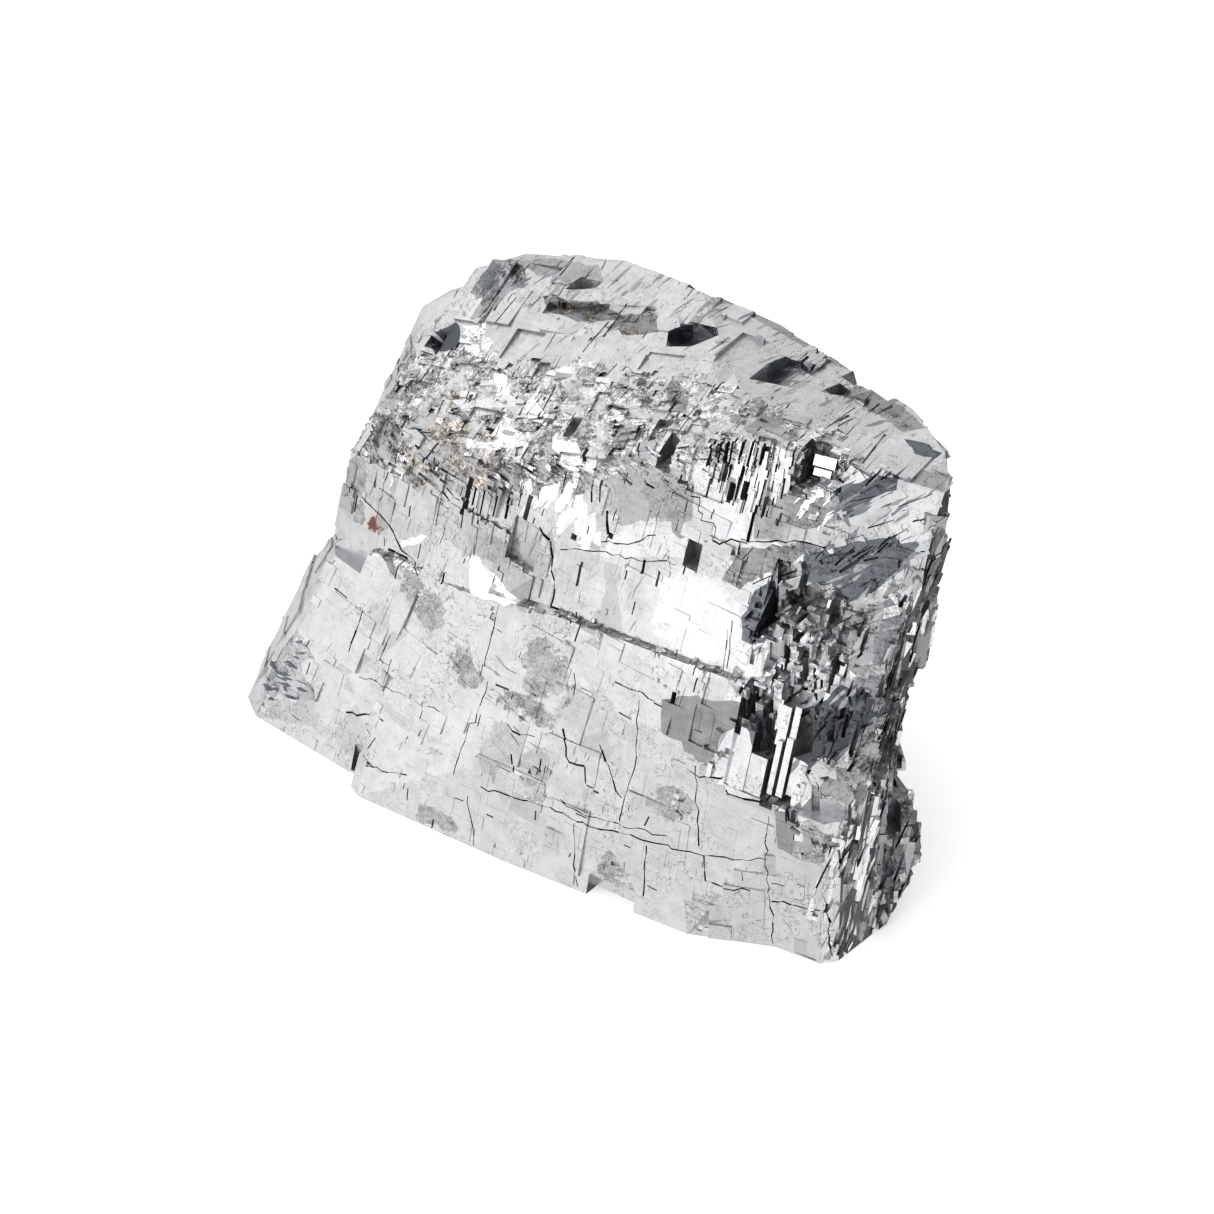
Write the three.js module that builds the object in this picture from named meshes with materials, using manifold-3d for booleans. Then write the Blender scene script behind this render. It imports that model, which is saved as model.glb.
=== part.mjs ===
// A lump of galena (lead sulphide) as it breaks from the vein: one solid, about 66 mm long.
// Millimetres, +Z up. X runs along the long front face, Y runs back into the lump.
// Galena splits along three planes at right angles, and here they are close to X, Y and Z.
import * as THREE from "three";
import { ConvexGeometry } from "three/addons/geometries/ConvexGeometry.js";
import { mergeVertices } from "three/addons/utils/BufferGeometryUtils.js";
import Module from "manifold-3d";

const wasm = await Module();
wasm.setup();

// ---- Driving sizes. Corners are measured from the foot's front left corner.
const FOOT = 62; // the foot's length along the front
const BROW = 20; // where the upright lower front ends at the right
const CREST = 39.5; // the highest ground, at the back of the top
const RECESS = 14; // the floor of the broken-out corner, above the corner column
const CENTRE = new THREE.Vector3(30.45, 12.92, 0); // the middle of the whole lump, on the floor

const point = (p) => new THREE.Vector3(...p);

// A closed three.js geometry as a solid that can be joined and cut.
function solid(geometry) {
  const bare = geometry.clone();
  bare.deleteAttribute("normal");
  bare.deleteAttribute("uv");
  const merged = mergeVertices(bare, 1e-4);
  return new wasm.Manifold(
    new wasm.Mesh({
      numProp: 3,
      vertProperties: new Float32Array(merged.getAttribute("position").array),
      triVerts: new Uint32Array(merged.index.array),
    }),
  );
}

const hull = (corners) => solid(new ConvexGeometry(corners.map(point)));
const box = (size, centre, turn = new THREE.Quaternion()) =>
  new THREE.BoxGeometry(...size).applyQuaternion(turn).translate(...centre);

// An upright block between two opposite corners.
function room(low, high) {
  const size = point(high).sub(point(low));
  return solid(box(size, point(low).addScaledVector(size, 0.5)));
}

// ---- The masses that the lump broke into, before the detail of their faces.
const footLeft = hull([
  [-0.2, -0.7, 0], [2.2, -2.5, 0], [8.3, -2.9, 0], [13.7, -4, 0], [20, -4, 0], [20, 20, 0], [0, 18, 0],
  [-0.7, 3, 2.1], [-1.4, 5, 2.9], [-2.3, 7, 3.6], [-2.7, 9, 4.6], [-2, 12, 0], [-1.4, 9, 7.2], [0.1, 9, 9.9],
  [2.5, 8.2, 13], [5.8, 5.6, 15], [12.7, 5, 16.4], [20.7, 3, 17.6], [20, 20, 18], [2.5, 16, 14],
]);
const footMain = hull([
  [15.3, -5.5, 0], [16.7, -6.3, 0], [22.4, -6.2, 0], [32.4, -6.1, 0], [39.2, -4.8, 0], [50.2, -4.9, 0],
  [56.5, -2, 0], [FOOT, 0.2, 0], [FOOT, 5, 0], [55, 17.5, 0], [46, 26, 0], [30, 29, 0], [15, 27, 0],
  [14, 4.5, 16.6], [20.7, 3, 17.6], [32, 2, BROW], [42.6, 1.5, BROW], [52.9, 1, 22], [FOOT, 0.6, BROW],
  [61.3, 8, 21], [55.2, 17.5, 21], [40, 26, 21], [18, 26, BROW],
]);
const upper = hull([
  [4, 6.8, 14.4], [4.2, 9, 22], [5.2, 11.5, 25.2], [5.3, 25, 33], [13, 5.6, 16.4], [21, 3.8, 17.6],
  [32, 2.8, BROW], [42.6, 2.3, BROW], [52.9, 1.8, 22], [FOOT, 1.5, BROW],
  [21.7, 7.3, 28.5], [32, 7.5, 31.5], [40.3, 8.6, 36], [46.1, 10, 38.5], [51.5, 12, 38.5],
  [FOOT, 12.7, 38.3], [61.2, 7, 13], [61.3, 8.1, 21], [60.7, 12.4, 32], [62.4, 14.8, 38.7],
  [60.2, 16.6, 38.4], [54.1, 19.5, 39.9],
  [44, 23, 38.6], [37.4, 25, 38.9], [29.2, 25, CREST], [20, 27, 38], [9, 27.5, 34.6],
  [54.8, 18.3, 20], [46, 28.5, 18], [30, 32, 18], [10, 31, 16], [1.5, 24, 14],
]);
const shoulder = hull([
  [-1, 17, 18], [-1.7, 24, 23.6], [-1.7, 26.3, 26.1], [0, 28.1, 27.5], [3, 27.5, 29.5], [5, 12.5, 21],
  [8, 24, 30], [12, 31, 26], [0, 14, 6], [-1, 27, 5], [12, 31, 4], [12, 14, 4],
]);
const knob = hull([
  [58, 5, 0], [62.3, 5, 0], [61.7, 8.5, 0.5], [62.2, 9, 3.5], [63.6, 9, 6.5], [62.9, 9, 9.7], [60.6, 9, 11],
  [61.4, 6, 12], [61.7, 11, 5], [55, 16, 0], [55, 16, 8], [58, 8, 12],
]);
const masses = [footLeft, footMain, upper, shoulder, knob];
const body = wasm.Manifold.union(masses);

// ---- Chance, the same every time (mulberry32).
let seed = 53;
function random() {
  seed = (seed + 0x6d2b79f5) | 0;
  let t = Math.imul(seed ^ (seed >>> 15), 1 | seed);
  t = (t + Math.imul(t ^ (t >>> 7), 61 | t)) ^ t;
  return ((t ^ (t >>> 14)) >>> 0) / 4294967296;
}
const between = ([low, high]) => low + (high - low) * random();

// ---- Measuring the masses.
function trianglesOf(made) {
  const { numProp, vertProperties, triVerts } = made.getMesh();
  const corner = (i) => new THREE.Vector3().fromArray(vertProperties, triVerts[i] * numProp);
  return Array.from(
    { length: triVerts.length / 3 },
    (_, i) => new THREE.Triangle(corner(3 * i), corner(3 * i + 1), corner(3 * i + 2)),
  );
}

// How far a point stands out from the bare masses.
const sides = masses.map((mass) => trianglesOf(mass).map((t) => t.getPlane(new THREE.Plane())));
const outside = (planes, p) => Math.max(...planes.map((plane) => plane.distanceToPoint(p)));
const standsOut = (p) => Math.min(...sides.map((planes) => outside(planes, p)));

// Points spread evenly over a solid's surface, each with the way its face looks.
function surfacePoints(made, count) {
  let area = 0;
  const faces = trianglesOf(made).map((face) => ({ face, upTo: (area += face.getArea()) }));
  return Array.from({ length: count }, () => {
    const pick = random() * area;
    const { face } = faces.find((f) => f.upTo >= pick);
    const u = Math.sqrt(random());
    const v = random();
    const p = new THREE.Vector3()
      .addScaledVector(face.a, 1 - u)
      .addScaledVector(face.b, u * (1 - v))
      .addScaledVector(face.c, u * v);
    return { p, normal: face.getNormal(new THREE.Vector3()) };
  });
}

// ---- The blocks that a broken face is made of.
// A block stands square to its face and upright; flush turns it from there towards lying in the face,
// lean tips it sideways in the face, and swing turns it about its own height.
// Its own X runs along the face, its Y inwards and its Z up. On level ground they are the part's own.
const UP = new THREE.Vector3(0, 0, 1);
const LEVEL = 0.75; // a face whose normal rises more than this is level ground
function turnAt(normal, { flush, lean = 0, swing = 0 }) {
  const level = normal.z > LEVEL;
  const out = level ? UP.clone() : new THREE.Vector3(normal.x, normal.y, 0).normalize();
  const inward = level ? new THREE.Vector3(0, 1, 0) : out.clone().negate();
  const along = inward.clone().cross(UP);
  const own = new THREE.Matrix4().makeBasis(along, inward, UP);
  const square = new THREE.Quaternion().setFromRotationMatrix(own);
  const tilt = new THREE.Quaternion().setFromUnitVectors(out, normal);
  const slight = [-0.03, 0.03];
  const sway = new THREE.Euler(between(slight), lean + between(slight), swing + between([-0.05, 0.05]));
  return new THREE.Quaternion()
    .slerp(tilt, flush)
    .multiply(square)
    .multiply(new THREE.Quaternion().setFromEuler(sway));
}

// Half the length of a turned box along a direction.
function reach(size, turn, direction) {
  const d = direction.clone().applyQuaternion(turn.clone().invert());
  return (Math.abs(d.x) * size[0] + Math.abs(d.y) * size[1] + Math.abs(d.z) * size[2]) / 2;
}

// A block whose outermost corner is proud of its face.
// It shrinks until its other corners stand out no further.
function blockAt({ p, normal }, kind) {
  const turn = turnAt(normal, kind);
  const out = between(kind.proud);
  let dims = kind.size.map(between);
  for (let go = 0; go < 6; go += 1) {
    const geometry = box(dims, p.clone().addScaledVector(normal, out - reach(dims, turn, normal)), turn);
    const corners = geometry.getAttribute("position");
    const furthest = Math.max(
      ...Array.from({ length: corners.count }, (_, i) =>
        standsOut(new THREE.Vector3().fromBufferAttribute(corners, i)),
      ),
    );
    if (furthest < out + 0.25) return solid(geometry);
    dims = dims.map((d) => d * 0.75);
  }
  return null;
}

// A notch is a block broken out; it opens outwards.
function notchAt({ p, normal }, kind) {
  const turn = turnAt(normal, kind);
  const dims = kind.size.map((range) => between(range) * 0.6);
  const centre = p.clone().addScaledVector(normal, reach(dims, turn, normal) - between(kind.deep));
  return solid(box(dims, centre, turn));
}

// The kinds of surface: where each is, and the blocks and notches in it.
const isFront = ({ normal }) => normal.y < -0.55 && normal.z < LEVEL;
const ledgeHeight = (x) => 16 + 0.09 * x;
const surfaces = [
  {
    // the broad lower front: thin plates, nearly flush
    where: (at) => isFront(at) && at.p.z < ledgeHeight(at.p.x),
    blocks: 40, notches: 4, flush: 0.98, proud: [0.05, 0.2], deep: [0.1, 0.25],
    size: [[4, 13], [3, 4], [4, 9]],
  },
  {
    // the upper front: upright blocks that step back as they rise
    where: (at) => isFront(at) && at.p.z >= ledgeHeight(at.p.x),
    blocks: 36, notches: 10, flush: 0.85, proud: [0.05, 0.3], deep: [0.15, 0.6],
    size: [[2, 7], [3, 6], [3, 9]],
  },
  {
    // the top: level plates and steps
    where: ({ normal }) => normal.z >= LEVEL,
    blocks: 50, notches: 12, flush: 0.9, proud: [0.05, 0.3], deep: [0.15, 0.4],
    size: [[2, 7], [4, 11], [2, 4]],
  },
  {
    // the right face: tall leaning slabs, each turned partly to the front
    where: ({ normal }) => normal.x > 0.55 && normal.z < LEVEL,
    blocks: 52, notches: 10, flush: 0.7, lean: 0.2, swing: -0.75, proud: [0.15, 0.6], deep: [0.4, 1.4],
    size: [[1.5, 4], [2, 4], [5, 14]],
  },
  {
    // the left end: smoother than the rest
    where: ({ normal }) => normal.x < -0.4 && normal.y < 0.4 && Math.abs(normal.z) < LEVEL,
    blocks: 24, notches: 6, flush: 0.95, proud: [0.05, 0.25], deep: [0.1, 0.3],
    size: [[3, 10], [4, 7], [3, 9]],
  },
  {
    // the back
    where: ({ normal }) => normal.y > 0.4 && Math.abs(normal.z) < LEVEL,
    blocks: 48, notches: 24, flush: 0.6, proud: [0.2, 1], deep: [0.5, 1.6],
    size: [[3, 12], [4, 7], [3, 11]],
  },
];
const spots = surfacePoints(body, 3000);
const blocks = [];
const notches = [];
for (const kind of surfaces) {
  const here = spots.filter(kind.where);
  for (const at of here.slice(0, kind.blocks)) blocks.push(blockAt(at, kind));
  for (const at of here.slice(kind.blocks, kind.blocks + kind.notches)) notches.push(notchAt(at, kind));
}

// ---- The front right corner is broken out above a square column, in upright steps.
const cornerColumn = hull(
  [0, RECESS].flatMap((z) => [
    [56.6, -2, z], [61.2, -1.6, z], [62.1, -0.4, z], [62.3, 4.2, z], [57, 5, z],
  ]),
);
const cornerSteps = [
  room([51.3, -8, RECESS - 0.4], [57, 2.6, 22]),
  room([53, -8, RECESS], [57.5, 4.2, 23.2]),
  room([54.8, -8, RECESS + 1], [58, 5.4, 24.4]),
  room([50.6, -8, 25.2], [57.4, 6.6, 31]),
  room([52.2, -8, 23], [58.6, 5.2, 27]),
  // the slanting hollow beside them, whose floor falls away outwards
  hull([
    [57.6, -8, 20], [57.6, 0.5, 17.4], [62, 5.6, 16.6], [70, 14.9, 15.4], [70, -8, 8],
    [57.6, -8, 22.8], [57.6, 1, 22.8], [62, 6.1, 22.4], [70, 15.4, 21.6], [70, -8, 22],
  ]),
];
// Posts are left standing in it; those further back stand taller.
const cornerPosts = Array.from({ length: 22 }, () => {
  const x = between([51.4, 58]);
  const y = 0.3 + (x - 51) * 0.65 + between([-0.5, 1.4]);
  const top = 16.5 + y * 1.7 + between([-2, 3]);
  return room([x, y, RECESS - 1], [x + between([0.6, 1.5]), y + 4, top]);
});
// More of them stand on the floor of the upper steps.
const upperPosts = Array.from({ length: 16 }, () => {
  const x = between([50.4, 56.6]);
  const y = between([3, 5.8]);
  const top = 24.6 + (y - 3) * 1.3 + between([0, 2.4]);
  return room([x, y, 22], [x + between([0.5, 1.3]), y + 4, top]);
});

// ---- Pits and grooves where whole crystals have dropped out.
// A hollow in the top: each corner of its outline is (x, y) and the height of its floor there.
const hollow = (...corners) => hull(corners.flatMap(([x, y, floor]) => [[x, y, floor], [x, y, 44]]));
const alongTop = new THREE.Quaternion().setFromEuler(new THREE.Euler(0, -0.31, 0.03));
const pits = [
  room([5.2, 16.6, 28.4], [7.8, 19, 31.4]), // the left edge of the top
  room([37.3, 6, 33.6], [38.8, 10.2, 35.9]), // under the brow
  room([42.2, 3, 27.6], [43.8, 6.7, 29.9]), // in the middle of the upper front
  room([49.5, 8, 35.4], [51.6, 12.6, 40]), // the crumbled pocket at the right of the brow
  room([51.2, 8, 36.4], [53.9, 11.9, 40]),
  hollow(
    [29.7, 19.9, 37.2], [31.1, 21.2, 37], [33.9, 21, 38.2], [34.6, 20.2, 38.7], [33, 18.6, 38.3],
    [30.6, 18.4, 37.4],
  ),
  hollow(
    [40.4, 16.4, 38], [40.5, 18.8, 37.7], [41.2, 20.4, 38.4], [43, 20.2, 39], [45.4, 19, 39.4],
    [44.8, 17.2, 39.1],
  ),
  hollow([46.4, 18.3, 38.4], [47, 19.8, 38.3], [48.6, 19.2, 39.2], [48.9, 18.2, 39.5], [47.4, 17.8, 39]),
  hollow([16.2, 23.5, 35.4], [17, 24.8, 35.2], [19.4, 24.6, 36.4], [19.2, 23.4, 36.6]),
  solid(box([11.5, 1.3, 2], [21, 21.6, 36.9], alongTop)),
];

// A shallow recess along the front of the foot.
const footRecess = room([40.4, -8, -5], [45, -4.1, 1.8]);

// ---- All together, on a flat cleavage that it lies on.
const underneath = room([-30, -30, -20], [90, 60, 0]);
const whole = wasm.Manifold.union([body, cornerColumn, ...blocks.filter(Boolean)])
  .subtract(wasm.Manifold.union([...notches, ...cornerSteps, footRecess]))
  .add(wasm.Manifold.union([...cornerPosts, ...upperPosts]))
  .subtract(wasm.Manifold.union([...pits, underneath]));
const lump = whole.decompose().sort((a, b) => b.volume() - a.volume())[0];

function geometryOf(made) {
  const { numProp, vertProperties, triVerts } = made.getMesh();
  const geometry = new THREE.BufferGeometry();
  const corners = new Float32Array((vertProperties.length / numProp) * 3);
  for (let i = 0; i < corners.length; i += 1) {
    corners[i] = vertProperties[Math.floor(i / 3) * numProp + (i % 3)];
  }
  geometry.setAttribute("position", new THREE.BufferAttribute(corners, 3));
  geometry.setIndex(new THREE.BufferAttribute(new Uint32Array(triVerts), 1));
  return geometry;
}

const galena = new THREE.MeshStandardMaterial({ color: 0xb9bcc0, roughness: 0.3, metalness: 1 });
const specimen = new THREE.Mesh(geometryOf(lump), galena);
specimen.name = "galena_lump";
specimen.position.copy(CENTRE).negate();

const part = new THREE.Group();
part.add(specimen);
export default part;
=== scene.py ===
import math
from dataclasses import dataclass
from typing import Callable

import bmesh
import bpy
import numpy as np
from mathutils import Matrix, Vector
from mathutils.bvhtree import BVHTree


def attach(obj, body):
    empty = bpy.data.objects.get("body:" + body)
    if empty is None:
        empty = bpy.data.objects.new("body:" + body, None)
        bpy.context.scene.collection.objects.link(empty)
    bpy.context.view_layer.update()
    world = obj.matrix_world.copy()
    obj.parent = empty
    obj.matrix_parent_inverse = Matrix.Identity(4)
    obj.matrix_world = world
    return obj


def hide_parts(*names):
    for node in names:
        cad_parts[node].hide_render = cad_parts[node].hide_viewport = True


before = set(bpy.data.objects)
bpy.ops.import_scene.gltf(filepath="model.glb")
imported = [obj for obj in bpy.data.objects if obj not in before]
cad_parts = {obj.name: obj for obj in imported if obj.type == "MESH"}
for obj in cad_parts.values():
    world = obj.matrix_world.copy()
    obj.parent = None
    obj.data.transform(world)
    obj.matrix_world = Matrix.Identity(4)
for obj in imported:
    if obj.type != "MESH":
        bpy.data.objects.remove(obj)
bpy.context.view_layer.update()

# ---------------------------------------------------------------- measures
# Places on the lump are in millimetres from the foot's front left corner: X along the long front,
# Y into the lump and Z up. The scene itself is in metres from the middle of the foot.
MM = 0.001
CORNER = np.array((-30.45, -12.92, 0.0))
UP = np.array((0.0, 0.0, 1.0))
LEVEL = 0.75  # a face whose normal rises more than this is level ground
TINY = 1e-12  # the least length that is divided by
SEED = 11


def metres(places):
    return (np.asarray(places, float) + CORNER) * MM


def millimetres(places):
    return np.asarray(places, float) / MM - CORNER


def unit(vectors):
    return vectors / np.maximum(np.linalg.norm(vectors, axis=-1, keepdims=True), TINY)


# ---------------------------------------------------------------- nodes
class Signal:
    """A number that varies over a surface. Arithmetic on it adds Math nodes."""

    def __init__(self, tree, socket):
        self.tree = tree
        self.socket = socket

    def math(self, operation, *others):
        return self.tree.add("ShaderNodeMath", {"operation": operation}, dict(enumerate((self, *others))))

    def __add__(self, other):
        return self.math("ADD", other)

    def __mul__(self, other):
        return self.math("MULTIPLY", other)

    def __sub__(self, other):
        return self.math("SUBTRACT", other)

    def __rsub__(self, other):
        return (self * -1.0) + other

    __radd__ = __add__
    __rmul__ = __mul__

    def between(self, low, high):
        """0 below low, 1 above high, and smooth in between; low may be the larger."""
        settings = {"interpolation_type": "SMOOTHSTEP"}
        limits = {"Value": self, "From Min": low, "From Max": high}
        return self.tree.add("ShaderNodeMapRange", settings, limits)


class Tree:
    """A node tree: add() makes a node, sets it, and fills its sockets from values or other nodes."""

    def __init__(self, tree):
        self.tree = tree

    def add(self, kind, settings=None, inputs=None, output=0):
        made = self.tree.nodes.new(kind)
        for name, value in (settings or {}).items():
            setattr(made, name, value)
        for name, value in (inputs or {}).items():
            socket = made.inputs[name] if isinstance(name, int) else self.open_socket(made.inputs, name)
            if isinstance(value, Signal):
                self.tree.links.new(value.socket, socket)
            else:
                socket.default_value = value
        if not made.outputs:
            return made
        socket = made.outputs[output] if isinstance(output, int) else self.open_socket(made.outputs, output)
        return Signal(self, socket)

    @staticmethod
    def open_socket(sockets, name):
        """The socket of this name that the node's settings leave in use."""
        return next(socket for socket in sockets if socket.name == name and socket.enabled)

    def vector(self, operation, *values):
        inputs = {0: values[0], "Scale": values[1]} if operation == "SCALE" else dict(enumerate(values))
        output = "Value" if operation in ("DOT_PRODUCT", "DISTANCE") else "Vector"
        return self.add("ShaderNodeVectorMath", {"operation": operation}, inputs, output=output)

    def part(self, vector, index):
        """One of a vector's three numbers."""
        return self.add("ShaderNodeSeparateXYZ", {}, {0: vector}, output=index)


# ---------------------------------------------------------------- stage
VIEW_AZIMUTH = math.radians(37)
VIEW_ELEVATION = math.radians(34)
VIEW_POINT = (245.9, -275.4, 257.3)
LENS = 153.0
SENSOR = 36.0
TENT_WAY = Vector((-0.45, -0.8, 0.3)).normalized()
TENT_LIGHT = 1.05
ROOM_LIGHT = 0.1
WALL_LIGHT = 0.17
HIGH_WALL_LIGHT = 0.35  # what the tent's front wall gains higher up
CARD = (0.93, 0.93, 0.93, 1)
GLOW = (1, 1, 1, 1)
GLOW_STRENGTH = 0.3
CARD_HALF = 2.0  # metres


def make_camera():
    data = bpy.data.cameras.new("view")
    data.lens = LENS
    data.sensor_width = SENSOR
    data.clip_start = 0.05
    data.clip_end = 10
    camera = bpy.data.objects.new("view", data)
    camera.location = metres(VIEW_POINT)
    camera.rotation_euler = (math.pi / 2 - VIEW_ELEVATION, 0, VIEW_AZIMUTH)
    bpy.context.collection.objects.link(camera)
    bpy.context.scene.camera = camera


def make_studio():
    """A soft white tent, brightest towards its front wall, and open at the right where the room is dark."""
    world = bpy.data.worlds.new("studio")
    bpy.context.scene.world = world
    world.use_nodes = True
    world.node_tree.nodes.clear()
    sky = Tree(world.node_tree)
    way = sky.add("ShaderNodeTexCoord")
    facing = sky.vector("DOT_PRODUCT", way, TENT_WAY)
    tent = facing.between(-0.84, -0.2) * (TENT_LIGHT - ROOM_LIGHT) + ROOM_LIGHT
    high = sky.part(way, 2).between(-0.3, 0.25)
    wall = facing.between(-0.1, 0.6) * (high * HIGH_WALL_LIGHT + WALL_LIGHT)
    background = sky.add("ShaderNodeBackground", {}, {"Color": tent + wall})
    sky.add("ShaderNodeOutputWorld", {}, {"Surface": background})
    bpy.context.scene.view_settings.view_transform = "Standard"


def make_floor():
    mesh = bpy.data.meshes.new("floor")
    corners = [(x * CARD_HALF, y * CARD_HALF, 0) for x, y in ((-1, -1), (1, -1), (1, 1), (-1, 1))]
    mesh.from_pydata(corners, [], [(0, 1, 2, 3)])
    floor = bpy.data.objects.new("floor", mesh)
    bpy.context.collection.objects.link(floor)
    card = bpy.data.materials.new("pale card")
    card.use_nodes = True
    shader = card.node_tree.nodes["Principled BSDF"]
    looks = {"Base Color": CARD, "Roughness": 0.9, "Emission Color": GLOW, "Emission Strength": GLOW_STRENGTH}
    for name, value in looks.items():
        shader.inputs[name].default_value = value
    mesh.materials.append(card)
    floor.visible_glossy = False


# ---------------------------------------------------------------- the carved lump
def merged_copy(source, name):
    """A CAD node's mesh with its loose triangles joined, as a new object."""
    touching = 1e-6
    mesh = source.data.copy()
    shape = bmesh.new()
    shape.from_mesh(mesh)
    bmesh.ops.remove_doubles(shape, verts=shape.verts, dist=touching)
    shape.to_mesh(mesh)
    shape.free()
    mesh.materials.clear()
    thing = bpy.data.objects.new(name, mesh)
    bpy.context.collection.objects.link(thing)
    return thing


class Surface:
    """The triangles of a mesh, in millimetres: their corners, which way they look and how large they are."""

    def __init__(self, mesh):
        mesh.calc_loop_triangles()
        spots = np.empty(len(mesh.vertices) * 3)
        mesh.vertices.foreach_get("co", spots)
        spots = millimetres(spots.reshape(-1, 3))
        triangles = np.empty(len(mesh.loop_triangles) * 3, dtype=int)
        mesh.loop_triangles.foreach_get("vertices", triangles)
        triangles = triangles.reshape(-1, 3)
        self.corners = spots[triangles].transpose(1, 0, 2)
        a, b, c = self.corners
        across = np.cross(b - a, c - a)
        self.normals = unit(across)
        self.areas = np.linalg.norm(across, axis=1) / 2
        self.tree = BVHTree.FromPolygons(spots.tolist(), triangles.tolist())


class Ground(Surface):
    """The lump's surface before the small blocks, which they are put on."""

    def scatter(self, chance, count):
        """Places spread evenly over the surface, each with the way it looks."""
        picks = chance.choice(len(self.areas), count, p=self.areas / self.areas.sum())
        u = np.sqrt(chance.random(count))[:, None]
        v = chance.random(count)[:, None]
        a, b, c = self.corners[:, picks]
        return a * (1 - u) + b * u * (1 - v) + c * u * v, self.normals[picks]

    def height(self, places):
        """How far each place stands outside the surface; inside it is negative."""
        heights = np.empty(len(places))
        for i, place in enumerate(places):
            near, normal, _, distance = self.tree.find_nearest(place)
            inside = (Vector(place) - near).dot(normal) < 0
            heights[i] = -distance if inside else distance
        return heights

    def front_spot(self, x, z):
        """The first place of the surface straight behind (x, z), and which way it looks there."""
        ahead = -30
        near, normal, _, _ = self.tree.ray_cast(Vector((x, ahead, z)), Vector((0, 1, 0)))
        return np.array(near), np.array(normal)


# ---------------------------------------------------------------- blocks on and in the faces
def turned(axes, angles):
    """Turning matrices about unit axes."""
    x, y, z = axes.T
    zero = np.zeros(len(axes))
    cross = np.array([[zero, -z, y], [z, zero, -x], [-y, x, zero]]).transpose(2, 0, 1)
    sines = np.sin(angles)[:, None, None]
    rest = (1 - np.cos(angles))[:, None, None]
    return np.eye(3) + sines * cross + rest * (cross @ cross)


def block_axes(normals, flush):
    """A block's own axes at each face, as columns: along the face, into it and up it.
    With flush 0 it stands upright and square to the face; with 1 it lies in the face."""
    hinged = 1e-6
    level = normals[:, 2] > LEVEL
    flat = unit(normals * (1, 1, 0))
    out = np.where(level[:, None], UP, flat)
    inward = np.where(level[:, None], (0.0, 1.0, 0.0), -flat)
    along = np.cross(inward, UP)
    square = np.stack([along, inward, np.broadcast_to(UP, inward.shape)], axis=2)
    hinge = np.cross(out, normals)
    length = np.linalg.norm(hinge, axis=1)
    angles = np.arctan2(length, (out * normals).sum(1)) * flush
    hinge = np.where(length[:, None] > hinged, unit(hinge), (1.0, 0.0, 0.0))
    return turned(hinge, angles) @ square


@dataclass
class Kind:
    """One kind of block on one kind of ground."""
    where: Callable  # which places and normals are its ground
    count: int
    size: tuple  # the least and the most it measures along the face, into it and up it
    step: tuple  # the least and the most it stands proud, or is cut deep
    flush: float  # 1 lies in the face, 0 stands upright
    wobble: float = 1.5  # how far it is out of true, in degrees
    tries: int = 12  # how many places are looked at for each block
    lean: float = 0
    lean_spread: float = 0
    swing: float = 0
    swing_spread: float = 0


def swayed(axes, chance, kind):
    """Each block's axes, leaned and swung, and a little out of true."""
    count = len(axes)
    angles = chance.normal(0, np.radians(kind.wobble), (count, 3))
    angles[:, 1] += kind.lean + chance.uniform(-1, 1, count) * kind.lean_spread
    angles[:, 2] += kind.swing + chance.uniform(-1, 1, count) * kind.swing_spread
    for index in (2, 1, 0):
        own = np.tile(np.eye(3)[index], (count, 1))
        axes = axes @ turned(own, angles[:, index])
    return axes


CUBE = np.array([[x, y, z] for x in (-1, 1) for y in (-1, 1) for z in (-1, 1)]) / 2
UNDER_FOOT = (30, 12, -2), (90, 60, 4)  # the middle and size of what is cut away below the foot


class Blocks:
    """Blocks to be joined to the lump or cut from it."""

    def __init__(self):
        self.centres = []
        self.sizes = []
        self.axes = []

    def add(self, centres, sizes, axes):
        self.centres.append(np.atleast_2d(centres))
        self.sizes.append(np.atleast_2d(sizes))
        self.axes.append(np.asarray(axes).reshape(-1, 3, 3))

    def as_points(self, name):
        """An object whose points carry each block's size and turn, for a tree to put a cube on."""
        centres = np.concatenate(self.centres)
        mesh = bpy.data.meshes.new(name)
        mesh.from_pydata(metres(centres).tolist(), [], [])
        sizes = mesh.attributes.new("size", "FLOAT_VECTOR", "POINT")
        sizes.data.foreach_set("vector", (np.concatenate(self.sizes) * MM).astype(np.float32).ravel())
        turns = mesh.attributes.new("turn", "FLOAT_VECTOR", "POINT")
        angles = [tuple(Matrix(a.tolist()).to_euler()) for a in np.concatenate(self.axes)]
        turns.data.foreach_set("vector", np.array(angles, dtype=np.float32).ravel())
        thing = bpy.data.objects.new(name, mesh)
        bpy.context.collection.objects.link(thing)
        return thing


def reach(axes, sizes, normals):
    """Half a block's length along its face's normal."""
    return (np.abs((axes * normals[:, :, None]).sum(1)) * sizes).sum(1) / 2


def chosen(ground, chance, kind):
    """Places, sizes and axes for one kind of block, and how far each stands proud or is cut deep."""
    size_spread = 0.25
    places, normals = ground.scatter(chance, kind.count * kind.tries)
    fit = kind.where(places, normals) & ~on_clean_facet(places, normals)
    keep = np.flatnonzero(fit)[: kind.count]
    sizes = np.stack([chance.uniform(low, high, len(keep)) for low, high in kind.size], axis=1)
    sizes *= np.exp(chance.normal(0, size_spread, len(keep)))[:, None]
    axes = swayed(block_axes(normals[keep], kind.flush), chance, kind)
    return places[keep], normals[keep], sizes, axes, chance.uniform(*kind.step, len(keep))


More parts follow.
